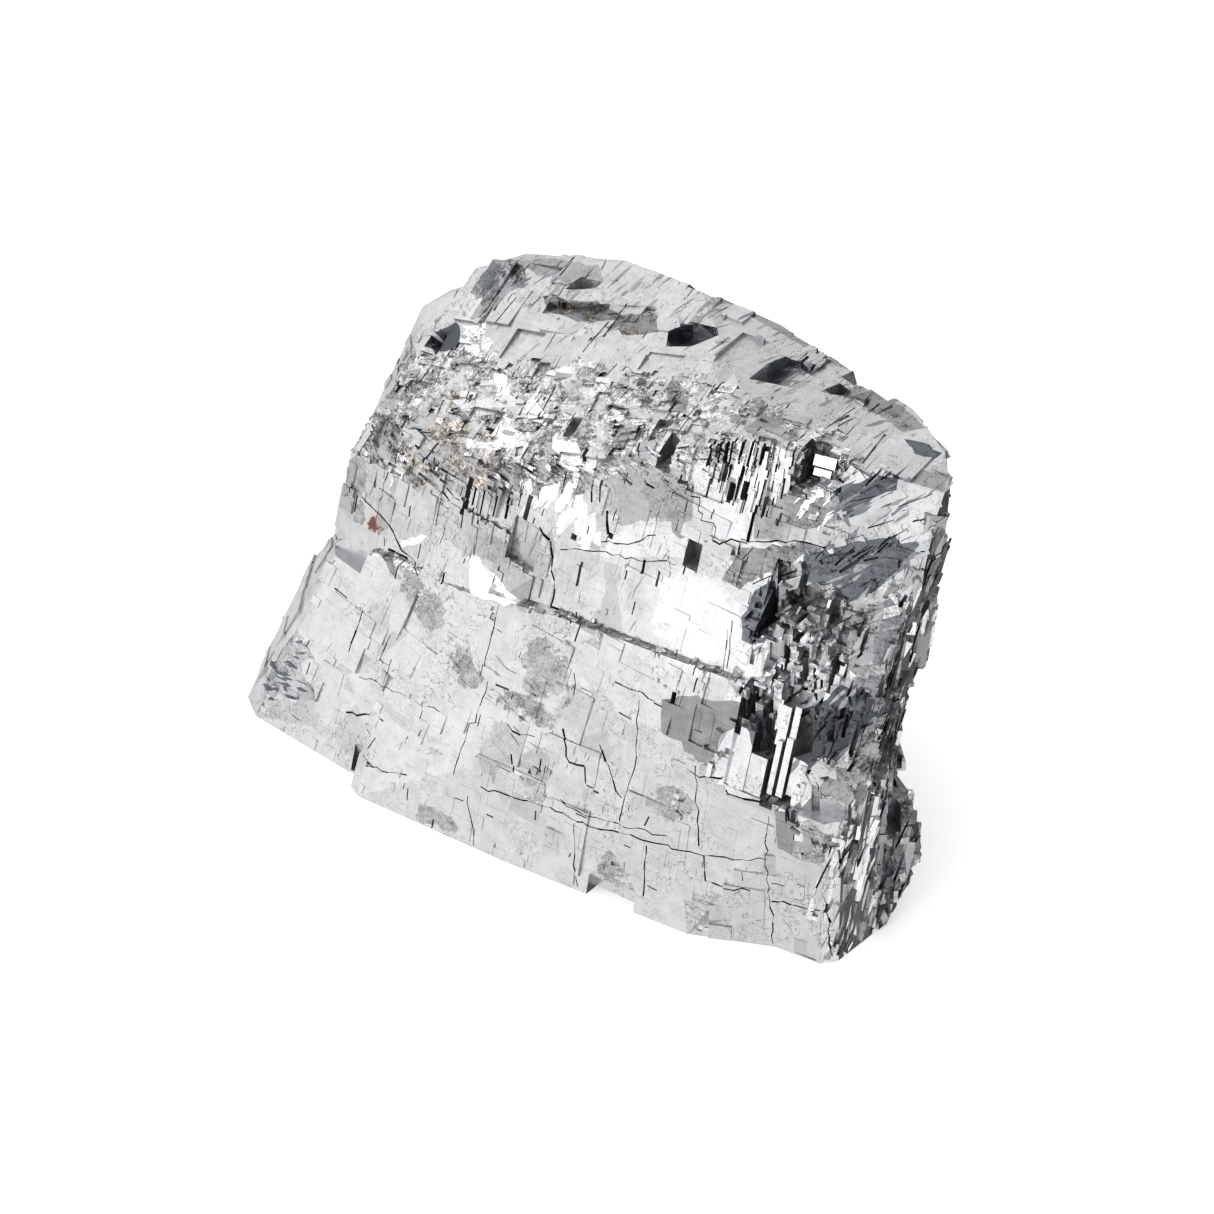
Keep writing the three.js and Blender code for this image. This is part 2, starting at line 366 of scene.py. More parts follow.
def add_raised(blocks, ground, chance, kind):
    """Blocks that stand a little proud of their face and nowhere much prouder than that.
    One that does is tried again, smaller."""
    rounds = 4
    slack = 0.12
    shrink = 0.65
    places, normals, sizes, axes, proud = chosen(ground, chance, kind)
    for _ in range(rounds):
        centres = places + normals * (proud - reach(axes, sizes, normals))[:, None]
        corners = centres[:, None, :] + np.einsum("nij,nkj->nki", axes, CUBE[None] * sizes[:, None, :])
        heights = ground.height(corners.reshape(-1, 3)).reshape(-1, 8).max(1)
        good = heights < proud + slack
        blocks.add(centres[good], sizes[good], axes[good])
        bad = ~good
        places, normals, proud, axes = places[bad], normals[bad], proud[bad], axes[bad]
        sizes = sizes[bad] * shrink
        if not len(places):
            break


def add_notches(blocks, ground, chance, kind):
    """Blocks cut out of their face, open to the outside."""
    places, normals, sizes, axes, deep = chosen(ground, chance, kind)
    centres = places + normals * (reach(axes, sizes, normals) - deep)[:, None]
    blocks.add(centres, sizes, axes)


# ---------------------------------------------------------------- where each kind of ground is
def ledge_height(x):
    return 16 + 0.09 * x


def past_brow(places):
    """How far back a place is from the brow, where the front turns into the top."""
    return places[:, 1] - np.interp(places[:, 0], (3.5, 21.7, 40, 51, 62), (9, 7.3, 8.6, 12, 13))


def is_front(places, normals):
    return (normals[:, 1] < -0.5) & (normals[:, 2] < LEVEL)


def on_lower_front(places, normals):
    return is_front(places, normals) & (places[:, 2] < ledge_height(places[:, 0]))


def on_upper_front(places, normals):
    return is_front(places, normals) & (places[:, 2] >= ledge_height(places[:, 0]))


def on_upper_left(places, normals):
    return on_upper_front(places, normals) & (places[:, 0] < 34)


def on_upper_right(places, normals):
    return on_upper_front(places, normals) & (places[:, 0] >= 34) & (places[:, 0] < 50)


def on_top(places, normals):
    return (normals[:, 2] >= LEVEL) & (places[:, 2] > 14)


def on_right(places, normals):
    steep = (normals[:, 0] > 0.4) & (normals[:, 2] < LEVEL)
    return steep & (places[:, 0] > 57) & (places[:, 2] < 34)


def on_ledge(places, normals):
    x, y, z = places.T
    return (normals[:, 2] > 0.8) & (x < 51) & (y < 7) & (z > 15) & (z < 24)


def on_right_brow(places, normals):
    x, _, z = places.T
    return (x > 53) & (z > 31) & (normals[:, 1] < 0.2) & (normals[:, 2] < 0.95)


def in_recess(places, normals):
    x, y, z = places.T
    steep = (normals[:, 2] < 0.9) & (normals[:, 1] < 0.3)
    return steep & (x > 49.8) & (x < 60) & (y < 9) & (z > 13.5) & (z < 32)


def on_left_end(places, normals):
    return (normals[:, 0] < -0.35) & (normals[:, 1] < 0.3) & (normals[:, 2] < 0.9) & (places[:, 0] < 7)


def on_back(places, normals):
    turned_away = (normals[:, 1] > 0.3) | (normals[:, 0] < -0.35)
    return turned_away & (np.abs(normals[:, 2]) < LEVEL) & ~on_left_end(places, normals)


def on_comb(places, normals):
    x, _, z = places.T
    return is_front(places, normals) & (x > 41.6) & (x < 49.2) & (z > 33.2) & (z < 38.4)


def in_pocket(places, normals):
    x, y, z = places.T
    return (x > 49.3) & (x < 54.3) & (y > 7.4) & (y < 12.9) & (z > 33.5) & (z < 38.8)


# The dark broken ground around the missing corner, as (x, z) on the front.
HOLLOW = ((45.8, 29.0), (47.2, 30.9), (49.6, 31.1), (52.0, 32.6), (54.0, 32.7), (56.1, 32.9), (59.0, 34.2),
          (61.1, 35.1), (61.6, 34.1), (60.8, 32.6), (60.4, 31.6), (62.9, 29.5), (62.9, 27.8), (62.8, 22.9),
          (62.3, 16.7), (61.8, 15.4), (57.7, 15.0), (52.0, 14.8), (51.7, 22.3), (50.5, 24.0), (49.5, 25.4),
          (50.0, 29.1))


def in_hollow(places, normals):
    deepest = np.where(places[:, 0] > 61.3, 7.5, 13)
    return (normals[:, 1] < 0.3) & (places[:, 1] < deepest) & inside(places[:, (0, 2)], HOLLOW)


CLEAN_FACETS = ("bright triangle", "pale lobe", "small lobe")  # these have no small blocks on them


def on_clean_facet(places, normals):
    held = np.zeros(len(places), dtype=bool)
    for name in CLEAN_FACETS:
        held |= inside(places[:, (0, 2)], FRONT_FACETS[name][3:])
    return held & (normals[:, 1] < -0.1)


def on_rough_band(places, normals):
    back = past_brow(places)
    far = np.interp(places[:, 0], (4, 25, 40, 50), (9, 9, 6, 2))
    return (back > -1.2) & (back < far) & (places[:, 2] > 22) & (normals[:, 2] > 0.1) & (places[:, 0] < 52)


def on_brown_brow(places, normals):
    x, _, z = places.T
    return on_rough_band(places, normals) & (x > 11) & (x < 21) & (z < 29)


def on_knob(places, normals):
    return (places[:, 0] > 61) & (places[:, 1] > 5) & (places[:, 2] < 14) & (normals[:, 1] < 0.5)


def beside(spot, size):
    """Ground within a distance of a place on the front."""
    def near(places, normals):
        away = places[:, (0, 2)] - spot
        return (np.hypot(*away.T) < size) & (normals[:, 1] < -0.3)
    return near


# Small patches of loose broken ground: their middle, as (x, z) on the front, and how far they reach.
CRUMBLED = {(47.0, 10.5): 1.3, (42.6, 3.0): 1.2, (51.5, 1.6): 1.2, (60.0, 11.8): 1.9, (36.0, 20.2): 1.6,
            (25.0, 17.2): 1.2, (9.5, 17.5): 1.2, (33.0, 7.6): 1.2}

# Two ways for blocks to lie: as upright slivers, and leaned over.
SLIVERS = {"flush": 0.8, "lean": 0.32, "lean_spread": 0.1, "swing": -0.7, "wobble": 3, "tries": 25}
ASLANT = {"flush": 0.85, "lean": 0.9, "lean_spread": 0.4, "wobble": 6, "tries": 60}
RAISED = [
    Kind(on_lower_front, 170, ((0.5, 4), (1, 1.5), (0.5, 3.5)), (0.02, 0.06), 1, wobble=0.6),
    Kind(on_upper_left, 80, ((0.4, 2), (0.8, 2), (0.8, 4)), (0.03, 0.16), 0.97, tries=25),
    Kind(on_upper_right, 90, ((0.5, 3), (0.8, 2), (0.8, 3)), (0.02, 0.1), 0.98, wobble=1, tries=25),
    Kind(on_comb, 40, ((0.2, 0.7), (0.6, 1.2), (0.7, 2.6)), (0.03, 0.2), 0.9, wobble=1, tries=300),
    Kind(on_ledge, 70, ((0.2, 0.9), (0.2, 0.7), (0.2, 0.6)), (0.04, 0.3), 0.9, wobble=12, tries=700),
    Kind(in_pocket, 90, ((0.2, 0.9), (0.2, 0.8), (0.2, 0.9)), (0.05, 0.35), 0.6, wobble=12, tries=200),
    Kind(on_rough_band, 400, ((0.3, 2.6), (0.3, 1.0), (0.2, 0.6)), (0.04, 0.26), 0.8, wobble=9, tries=30),
    Kind(on_top, 120, ((0.5, 3), (1.5, 7), (0.6, 1.2)), (0.02, 0.1), 0.95, wobble=7),
    Kind(on_right, 400, ((0.3, 1.1), (0.6, 1.2), (2.5, 9)), (0.1, 0.45), swing_spread=0.4, **SLIVERS),
    Kind(on_right_brow, 100, ((0.4, 2), (0.6, 1.5), (1, 5)), (0.03, 0.18), 0.95, wobble=4, tries=60,
         lean=0.8, lean_spread=0.3),
    Kind(in_hollow, 190, ((0.2, 0.9), (0.5, 1.2), (0.8, 4.5)), (0.05, 0.35), **ASLANT),
    Kind(in_recess, 120, ((0.25, 0.8), (0.3, 1.2), (0.8, 4)), (0.05, 0.5), 0.2, wobble=3, tries=60,
         lean=0.1, lean_spread=0.15),
    Kind(on_knob, 140, ((0.3, 1.2), (0.5, 1.5), (0.5, 2.5)), (0.1, 0.4), 0.5, wobble=8, tries=90),
    Kind(on_left_end, 50, ((0.8, 4), (0.8, 1.6), (0.8, 4)), (0.02, 0.08), 1, tries=25),
    Kind(on_back, 300, ((0.6, 5), (1, 2), (0.6, 4)), (0.03, 0.3), 0.95),
]
CUT = [
    Kind(on_lower_front, 36, ((0.06, 0.14), (0.6, 1), (0.3, 1.6)), (0.1, 0.3), 1, wobble=9),
    Kind(on_lower_front, 30, ((0.4, 2), (0.6, 1), (0.06, 0.12)), (0.1, 0.25), 1, wobble=4),
    Kind(on_upper_left, 46, ((0.06, 0.16), (0.6, 1), (0.4, 2.0)), (0.12, 0.35), 0.97, wobble=5, tries=25),
    Kind(on_upper_right, 30, ((0.08, 0.16), (0.6, 1), (0.4, 1.5)), (0.15, 0.3), 0.97, wobble=2, tries=25),
    Kind(on_comb, 40, ((0.08, 0.22), (0.8, 1.2), (0.6, 2.0)), (0.2, 0.6), 0.9, wobble=1, tries=300),
    Kind(on_rough_band, 240, ((0.3, 2.2), (0.3, 0.8), (0.12, 0.35)), (0.08, 0.32), 0.8, wobble=10, tries=30),
    Kind(on_top, 110, ((0.08, 0.3), (1, 4), (0.4, 0.8)), (0.06, 0.25), 0.9, wobble=9),
    Kind(on_right, 180, ((0.12, 0.4), (0.6, 1.2), (2, 8)), (0.2, 0.8), **SLIVERS),
    Kind(on_right_brow, 44, ((0.06, 0.18), (0.6, 1), (0.8, 3)), (0.1, 0.35), 0.95, wobble=5, tries=60,
         lean=0.8, lean_spread=0.3),
    Kind(in_hollow, 60, ((0.1, 0.35), (0.6, 1), (0.6, 3)), (0.15, 0.5), **ASLANT),
    Kind(in_recess, 60, ((0.15, 0.6), (0.6, 1.2), (0.5, 3)), (0.2, 0.7), 0.2, wobble=4, tries=60),
    Kind(on_left_end, 20, ((0.1, 0.2), (0.6, 1), (0.6, 2)), (0.06, 0.2), 1, wobble=4, tries=25),
    Kind(on_back, 100, ((0.2, 2.5), (0.6, 1.2), (0.2, 2.5)), (0.08, 0.35), 0.95, wobble=2),
]


# ---------------------------------------------------------------- cracks and slots in the front
# Each crack is its width, its depth and its way over the front, as (x, z).
CRACKS = [
    (0.12, 0.5, (28.7, 5.2), (35.7, 6.0), (39.8, 5.8), (42.5, 6.3), (45.0, 6.5), (50.6, 7.1), (56.1, 8.7)),
    (0.1, 0.4, (36.5, 6.9), (39.6, 6.6), (42.3, 7.0), (47.0, 7.6)),
    (0.12, 0.5, (9.2, 23.7), (8.6, 17.6)),
    (0.22, 0.6, (10.8, 16.3), (13.2, 16.6), (13.1, 15.3)),
    (0.2, 0.6, (10.7, 11.8), (10.7, 10.2)),
    (0.34, 0.8, (10.7, 10.3), (10.6, 8.7)),
    (0.1, 0.4, (12.5, 7.4), (17.5, 8.4), (22.6, 9.0)),
    (0.13, 0.5, (25.3, 18.2), (25.8, 13.1)),
    (0.12, 0.5, (26.7, 13.0), (26.6, 9.7), (26.0, 9.4), (25.8, 5.2)),
    (0.45, 0.9, (27.4, 25.2), (28.6, 24.7)),
    (0.3, 0.9, (28.8, 24.6), (29.5, 22.9)),
    (0.17, 0.7, (29.5, 22.9), (30.4, 21.3), (30.4, 19.9), (32.0, 20.0)),
    (0.16, 0.5, (12.0, 4.2), (14.8, 5.1)),
    (0.14, 0.5, (29.8, 10.8), (31.3, 10.5), (32.8, 10.9)),
    (0.2, 0.6, (35.4, 12.5), (36.7, 10.3), (38.2, 10.5)),
    (0.16, 0.5, (38.3, 10.4), (38.7, 8.9), (40.0, 8.8)),
    (0.12, 0.5, (34.6, 9.2), (34.2, 6.7)),
    (0.12, 0.4, (16.5, 2.3), (21.1, 3.4)),
    (0.12, 0.5, (38.3, 5.6), (39.5, 0.4)),
    (0.12, 0.5, (45.3, 6.1), (45.7, 1.8)),
    (0.14, 0.5, (50.6, 7.1), (51.1, 5.1), (53.0, 5.2), (55.0, 5.4)),
    (0.14, 0.5, (48.5, 14.2), (50.0, 7.8)),
    (0.13, 0.5, (41.9, 17.2), (42.9, 12.1), (42.5, 9.2), (42.6, 6.6)),
    (0.18, 0.6, (39.2, 12.6), (40.8, 10.7), (42.2, 9.2)),
    (0.12, 0.4, (55.8, 12.4), (56.8, 0.3)),
    (0.2, 0.5, (61.3, 6.6), (61.8, 0.6)),
    (0.12, 0.4, (27.6, 4.0), (29.0, 0.2)),
    (0.12, 0.5, (38.5, 17.5), (43.4, 17.7)),
    (0.18, 0.6, (34.9, 16.7), (35.5, 15.3)),
    (0.2, 0.6, (48.0, 13.6), (49.0, 13.4), (51.0, 14.0), (51.8, 13.0), (53.4, 13.1), (55.0, 13.4),
     (56.6, 14.6)),
    (0.14, 0.7, (44.7, 30.6), (47.6, 31.3), (51.5, 32.5), (54.2, 32.6), (55.2, 31.8)),
    (0.1, 0.4, (40.1, 34.7), (40.7, 33.4), (41.2, 33.5), (41.4, 32.8), (42.3, 33.0), (42.5, 32.1),
     (43.0, 32.0), (43.0, 31.5), (44.2, 31.7), (44.6, 30.6)),
    (0.14, 0.6, (48.0, 24.7), (48.5, 21.6)),
    (0.14, 0.6, (48.3, 25.5), (48.8, 21.9)),
    (0.12, 0.5, (40.6, 28.2), (41.2, 26.9)),
    (0.2, 0.6, (32.5, 30.9), (32.8, 29.3)),
    (0.3, 0.8, (33.7, 28.8), (34.3, 27.3)),
    (0.16, 0.6, (31.7, 31.0), (32.0, 29.0)),
    (0.1, 0.4, (30.0, 24.4), (33.9, 25.7), (37.9, 26.4), (42.2, 27.7)),
    (0.12, 0.5, (33.8, 26.4), (36.5, 27.2), (39.0, 28.9)),
    (0.12, 0.5, (14.6, 11.6), (14.2, 9.5), (15.5, 9.6), (15.9, 7.4)),
    (0.1, 0.4, (15.8, 13.2), (15.4, 11.5)),
    (0.16, 0.5, (31.0, 8.8), (31.6, 7.6)),
    (0.18, 0.6, (6.5, 19.0), (9.0, 18.6), (11.0, 17.9), (12.4, 16.9), (15.5, 16.6)),
    (0.16, 0.6, (56.6, 4.5), (57.6, 4.9), (60.9, 5.2)),
]

# Each slot is its middle (x, z), its width, its height and its depth.
SLOTS = [
    (42.1, 36.2, 0.25, 2.0, 0.8), (42.8, 36.5, 0.2, 1.8, 0.7), (43.4, 36.7, 0.45, 2.0, 1.2),
    (43.9, 36.9, 0.22, 2.2, 0.9), (44.8, 37.2, 0.22, 2.0, 0.9), (45.7, 37.4, 0.24, 2.2, 0.9),
    (46.7, 37.6, 0.26, 1.8, 0.9), (43.7, 35.2, 0.6, 1.4, 1.2), (44.8, 34.1, 0.6, 1.6, 1.4),
    (45.4, 35.7, 0.4, 1.4, 1.0), (46.1, 34.7, 0.5, 1.6, 1.2), (47.6, 32.7, 0.3, 3.0, 1.1),
    (18.9, 24.4, 0.7, 3.4, 0.7), (19.9, 24.6, 0.25, 2.2, 0.5), (23.6, 25.4, 0.3, 2.0, 0.6),
    (25.7, 26.2, 0.5, 2.2, 0.7), (22.4, 25.1, 0.2, 2.0, 0.4), (20.9, 24.4, 0.2, 3.0, 0.4),
    (30.2, 32.2, 0.4, 1.4, 0.7), (34.6, 27.2, 0.5, 0.5, 0.8), (31.0, 25.8, 0.6, 0.5, 0.6),
    (36.0, 35.6, 1.6, 1.2, 0.8), (52.7, 28.1, 0.7, 0.5, 0.6), (53.4, 27.1, 0.9, 0.5, 0.6),
    (53.9, 17.2, 0.35, 5.4, 1.0), (53.2, 17.8, 0.3, 4.6, 0.8), (55.6, 17.2, 0.3, 4.4, 1.0),
    (51.9, 19.9, 0.7, 1.2, 0.8), (55.4, 13.4, 1.2, 0.7, 0.9),
]


def crooked(start, end, chance, stride, stray):
    """The start of a straight line and the bends after it, a stride apart and each a little astray."""
    steps = max(1, round(math.dist(start, end) / stride))
    bends = [start + (end - start) * step / steps + chance.normal(0, stray, 2) for step in range(1, steps)]
    return [start, *bends]


def add_cracks(blocks, ground, chance):
    """Thin blocks end to end along each crack, a little crooked and open to the outside."""
    outside = 0.3
    overlap = 0.7
    for width, deep, *way in CRACKS:
        way = np.array(way)
        bends = []
        for start, end in zip(way, way[1:]):
            bends += crooked(start, end, chance, stride=0.7, stray=0.09)
        spots = [ground.front_spot(x, z) for x, z in (*bends, way[-1])]
        for (start, look), (end, _) in zip(spots, spots[1:]):
            along = (end - start) / math.dist(start, end)
            inward = along * look.dot(along) - look
            inward /= np.linalg.norm(inward)
            thick = width * chance.uniform(0.3, 1.15)
            size = (math.dist(start, end) + thick * overlap, deep + outside, thick)
            axes = np.stack([along, inward, np.cross(along, inward)], axis=1)
            blocks.add((start + end) / 2 + inward * (deep - outside) / 2, size, axes)


def add_slots(blocks, ground):
    """Slots cut into the front, open to the outside."""
    outside = 1.5
    flush = 0.6
    for x, z, wide, high, deep in SLOTS:
        spot, look = ground.front_spot(x, z)
        axes = block_axes(look[None], flush)
        blocks.add(spot + axes[0, :, 1] * (deep - outside) / 2, (wide, deep + outside, high), axes)


FRONT_LOOK = (0.0, -0.948, 0.318)
BROW_LOOK = (0.15, -0.84, 0.52)
# Each plate is the middle of its front, its width, thickness and height, and which way it looks.
PLATES = [
    ((52.1, -0.7, 15.7), (1.9, 4, 5.8), FRONT_LOOK), ((53.8, -0.9, 14.9), (1.7, 4, 3.9), FRONT_LOOK),
    ((55.2, -0.1, 16.1), (0.5, 4, 4.6), FRONT_LOOK), ((56.1, 0.0, 16.4), (0.6, 4, 5.0), FRONT_LOOK),
    ((57.6, -0.4, 16.2), (1.4, 4, 3.2), FRONT_LOOK), ((55.0, 1.3, 19.3), (0.9, 4, 3.4), FRONT_LOOK),
    ((56.1, 1.4, 19.8), (0.6, 4, 3.0), FRONT_LOOK), ((54.2, 1.8, 19.8), (0.4, 4, 2.6), FRONT_LOOK),
    ((51.6, 11.2, 37.9), (1.9, 3, 0.9), BROW_LOOK), ((51.3, 11.3, 36.7), (1.5, 3, 0.6), BROW_LOOK),
]


def add_plates(blocks):
    """Plates that stand in the missing corner, almost level with the front, and in the pocket above it."""
    for front, size, look in PLATES:
        look = np.array(look)
        blocks.add(front - look * size[1] / 2, size, block_axes(look[None], 1))


def add_crumbs(raised, cut, ground, chance):
    """Crumbs and pits in the small patches of loose broken ground."""
    crumbs = 12
    pits = 8
    for spot, size in CRUMBLED.items():
        area = size * size
        crumb = {"where": beside(spot, size), "size": ((0.2, 0.8), (0.3, 0.6), (0.2, 0.8)), "flush": 0.9,
                 "wobble": 14, "tries": 250}
        add_raised(raised, ground, chance, Kind(count=round(area * crumbs), step=(0.05, 0.25), **crumb))
        add_notches(cut, ground, chance, Kind(count=round(area * pits), step=(0.1, 0.35), **crumb))


# ---------------------------------------------------------------- the tree that joins and cuts
def blocks_tree():
    """Puts a cube of its own size and turn on every point, joins the first lot to the lump
    and cuts the second lot from it."""
    tree = bpy.data.node_groups.new("cleavage blocks", "GeometryNodeTree")
    face = tree.interface
    face.new_socket("Lump", in_out="INPUT", socket_type="NodeSocketGeometry")
    face.new_socket("Raised blocks", in_out="INPUT", socket_type="NodeSocketObject")
    face.new_socket("Cut blocks", in_out="INPUT", socket_type="NodeSocketObject")
    face.new_socket("Finish", in_out="INPUT", socket_type="NodeSocketMaterial")
    face.new_socket("Lump", in_out="OUTPUT", socket_type="NodeSocketGeometry")
    made = Tree(tree)
    given = tree.nodes.new("NodeGroupInput")
    lump, raised, cut, finish = (Signal(made, given.outputs[i]) for i in range(4))
    cube = made.add("GeometryNodeMeshCube", {}, {"Size": (1, 1, 1)})
    size = made.add("GeometryNodeInputNamedAttribute", {"data_type": "FLOAT_VECTOR"}, {"Name": "size"})
    turn = made.add("GeometryNodeInputNamedAttribute", {"data_type": "FLOAT_VECTOR"}, {"Name": "turn"})

    def cubes(points):
        spots = made.add("GeometryNodeObjectInfo", {}, {"Object": points}, output="Geometry")
        sockets = {"Points": spots, "Instance": cube, "Scale": size, "Rotation": turn}
        return made.add("GeometryNodeInstanceOnPoints", {}, sockets)

    def boolean(operation, first, others):
        node = tree.nodes.new("GeometryNodeMeshBoolean")
        node.operation = operation
        node.solver = "MANIFOLD"
        sockets = [s for s in node.inputs if s.name.startswith("Mesh") and s.enabled]
        tree.links.new(first.socket, sockets[0])
        tree.links.new(others.socket, sockets[-1])
        return Signal(made, node.outputs[0])

    joined = boolean("UNION", lump, cubes(raised))
    carved = boolean("DIFFERENCE", joined, cubes(cut))
    solid = made.add("GeometryNodeRealizeInstances", {}, {"Geometry": carved})
    finished = made.add("GeometryNodeSetMaterial", {}, {"Geometry": solid, "Material": finish})
    made.add("NodeGroupOutput", {}, {"Lump": finished})
    return tree


def through_tree(thing, tree, values, name):
    """The object's mesh after a tree has worked on it, as a plain object."""
    modifier = thing.modifiers.new(tree.name, "NODES")
    modifier.node_group = tree
    names = {item.name: item.identifier for item in tree.interface.items_tree if item.in_out == "INPUT"}
    for label, value in values.items():
        modifier[names[label]] = value
    bpy.context.view_layer.update()
    evaluated = thing.evaluated_get(bpy.context.evaluated_depsgraph_get())
    mesh = bpy.data.meshes.new_from_object(evaluated)
    thing.modifiers.remove(modifier)
    made = bpy.data.objects.new(name, mesh)
    bpy.context.collection.objects.link(made)
    return made


# ---------------------------------------------------------------- facets that stand apart, painted brighter and darker
# Each facet is how bright it is, how rough, how broken, and its outline: (x, z) on the front,
# (x, y) on the top. Its brightness is painted light: a facet at 1 is as bright as clean galena,
# one above 1 is a painted highlight, and one near 0 is painted shade and dark reflection, almost black.
FRONT_FACETS = {
    "bright triangle": (1.7, 0.2, 0, (20.3, 19.9), (21.6, 20.4), (24.6, 19.7), (27.1, 19.0), (24.2, 18.3),
                        (21.7, 17.9)),
    "bright chip": (1.6, 0.2, 0, (12.0, 17.6), (14.3, 19.2), (15.1, 19.4), (13.8, 18.0), (12.4, 17.1)),
    "striated triangle": (0.72, 0.4, 0.7, (3.7, 7.5), (7.0, 6.5), (5.6, 5.6), (8.7, 3.7), (6.7, 3.2),
                          (1.9, 1.9), (1.9, 3.2)),
    "grey facet": (0.47, 0.3, 0.1, (44.0, 18.1), (46.5, 19.2), (52.1, 20.5), (51.3, 18.2), (50.3, 17.4),
                   (50.7, 15.6), (48.7, 14.6), (47.1, 14.9), (46.7, 15.6), (45.0, 15.6)),
    "corner dull": (0.5, 0.3, 0.1, (56.6, 13.6), (58.3, 14.6), (58.9, 12.7), (58.3, 9.8), (57.0, 10.0)),
    "corner grey": (0.7, 0.3, 0.6, (59.1, 13.5), (59.9, 14.0), (61.7, 12.8), (61.3, 10.3), (59.2, 9.6)),
    "ruled grey": (0.7, 0.35, 0.15, (32.8, 31.1), (36.0, 33.1), (40.1, 34.5), (41.5, 33.3), (42.1, 31.2),
                   (37.1, 29.4), (35.3, 28.2), (33.4, 29.3)),
    "ruled corner": (0.6, 0.35, 0.3, (36.3, 31.9), (41.1, 34.1), (42.1, 31.4), (38.0, 29.8)),
    "stair block": (1.1, 0.2, 0, (40.3, 34.6), (40.6, 33.3), (41.5, 33.4), (42.4, 33.0), (43.1, 31.5),
                    (44.2, 31.7), (44.7, 30.5), (47.6, 31.4), (46.7, 33.8), (44.6, 33.5), (43.9, 34.8),
                    (43.1, 35.5)),
    "clean band": (1.08, 0.2, 0, (37.2, 29.0), (41.4, 30.1), (43.6, 30.1), (41.9, 29.1), (42.2, 28.2),
                   (34.0, 25.4), (33.8, 26.2), (35.3, 27.7)),
    "grey stripe": (0.8, 0.3, 0, (34.6, 25.1), (36.1, 25.4), (37.7, 21.4), (35.6, 20.6)),
    "slit lobe": (1.15, 0.2, 0, (49.4, 24.1), (51.3, 24.6), (51.9, 23.7), (52.1, 22.1), (50.5, 21.8),
                  (49.7, 22.2)),
    "dark hollow": (0.3, 0.35, 0.4, (50.4, 29.7), (51.0, 27.9), (51.8, 25.1), (49.6, 24.5), (49.0, 26.1),
                    (49.5, 28.2)),
    "grey lobe": (0.6, 0.3, 0.2, (51.5, 29.1), (53.4, 30.3), (54.8, 29.6), (55.3, 28.7), (54.2, 26.5),
                  (52.7, 25.7), (51.5, 26.7)),
    "dark crumbs": (0.5, 0.4, 0.8, (47.0, 29.7), (47.5, 30.8), (51.3, 32.1), (52.7, 32.0), (51.6, 30.6),
                    (49.6, 29.4), (48.2, 27.9), (46.3, 28.0)),
    "grey columns": (0.55, 0.3, 0.3, (47.5, 34.4), (49.7, 35.0), (50.6, 32.3), (48.4, 31.7)),
    "slate facet": (0.2, 0.35, 0.4, (59.0, 23.9), (61.3, 24.1), (62.0, 23.5), (61.0, 20.5), (60.0, 18.4),
                    (59.4, 17.0), (56.2, 17.1), (55.8, 19.2), (56.9, 21.2)),
    "slate band": (0.26, 0.35, 0.45, (55.1, 32.9), (57.5, 33.9), (59.6, 35.0), (61.2, 35.4), (60.7, 33.2),
                   (60.4, 32.1), (58.3, 29.8), (56.1, 29.2), (55.0, 31.5)),
    "slate step": (0.28, 0.35, 0.5, (52.7, 31.7), (53.5, 32.2), (55.1, 32.5), (55.6, 30.3), (54.7, 29.8),
                   (53.3, 30.0)),
    "grey flank": (0.6, 0.38, 0.8, (57.0, 28.8), (58.8, 29.6), (59.9, 30.2), (60.5, 29.6), (60.8, 27.6),
                   (61.0, 24.8), (60.4, 24.6), (59.4, 25.2), (57.9, 26.6)),
    "pocket plate": (1.5, 0.2, 0, (50.5, 38.5), (52.7, 38.5), (52.7, 36.3), (50.5, 36.3)),
    "grey column": (0.7, 0.3, 0, (52.3, 20.4), (53.2, 20.5), (53.2, 18.1), (52.8, 17.6), (52.2, 18.7)),
    "dark column": (0.3, 0.3, 0, (52.0, 19.3), (53.4, 20.2), (53.6, 15.6), (52.1, 15.4)),
    "bright columns": (1.25, 0.2, 0.1, (53.6, 20.4), (56.4, 21.5), (57.2, 18.3), (56.7, 14.4), (55.1, 13.9),
                       (54.6, 17.3)),
    "pale lobe": (1.12, 0.2, 0, (50.4, 17.6), (51.9, 18.7), (52.8, 17.6), (54.1, 16.6), (54.7, 14.2),
                  (53.9, 13.2), (51.8, 13.1), (50.4, 14.7), (50.1, 16.6)),
    "small lobe": (1.12, 0.2, 0, (57.6, 17.9), (59.6, 16.8), (59.6, 15.7), (59.0, 15.2), (57.0, 14.9),
                   (56.8, 16.7)),
    "side plate": (0.95, 0.3, 0, (54.0, 36.8), (53.5, 38.4), (56.2, 39.7), (58.6, 39.7), (59.8, 38.9),
                   (56.6, 38.2), (55.6, 37.0)),
    "side plate low": (0.95, 0.3, 0, (58.1, 35.4), (59.1, 38.2), (61.7, 38.3), (62.0, 35.0), (59.9, 34.1)),
    "rust line": (0.45, 0.4, 0.5, (9.0, 17.1), (10.4, 16.8), (11.6, 16.3), (13.2, 15.7), (13.2, 15.4),
                  (11.5, 15.9), (10.3, 16.4), (9.0, 16.8)),
    "side streak": (0.2, 0.35, 0.5, (53.3, 36.4), (56.6, 38.3), (58.0, 38.9), (58.2, 37.6), (56.6, 36.7),
                    (55.4, 34.7), (54.4, 35.5)),
}
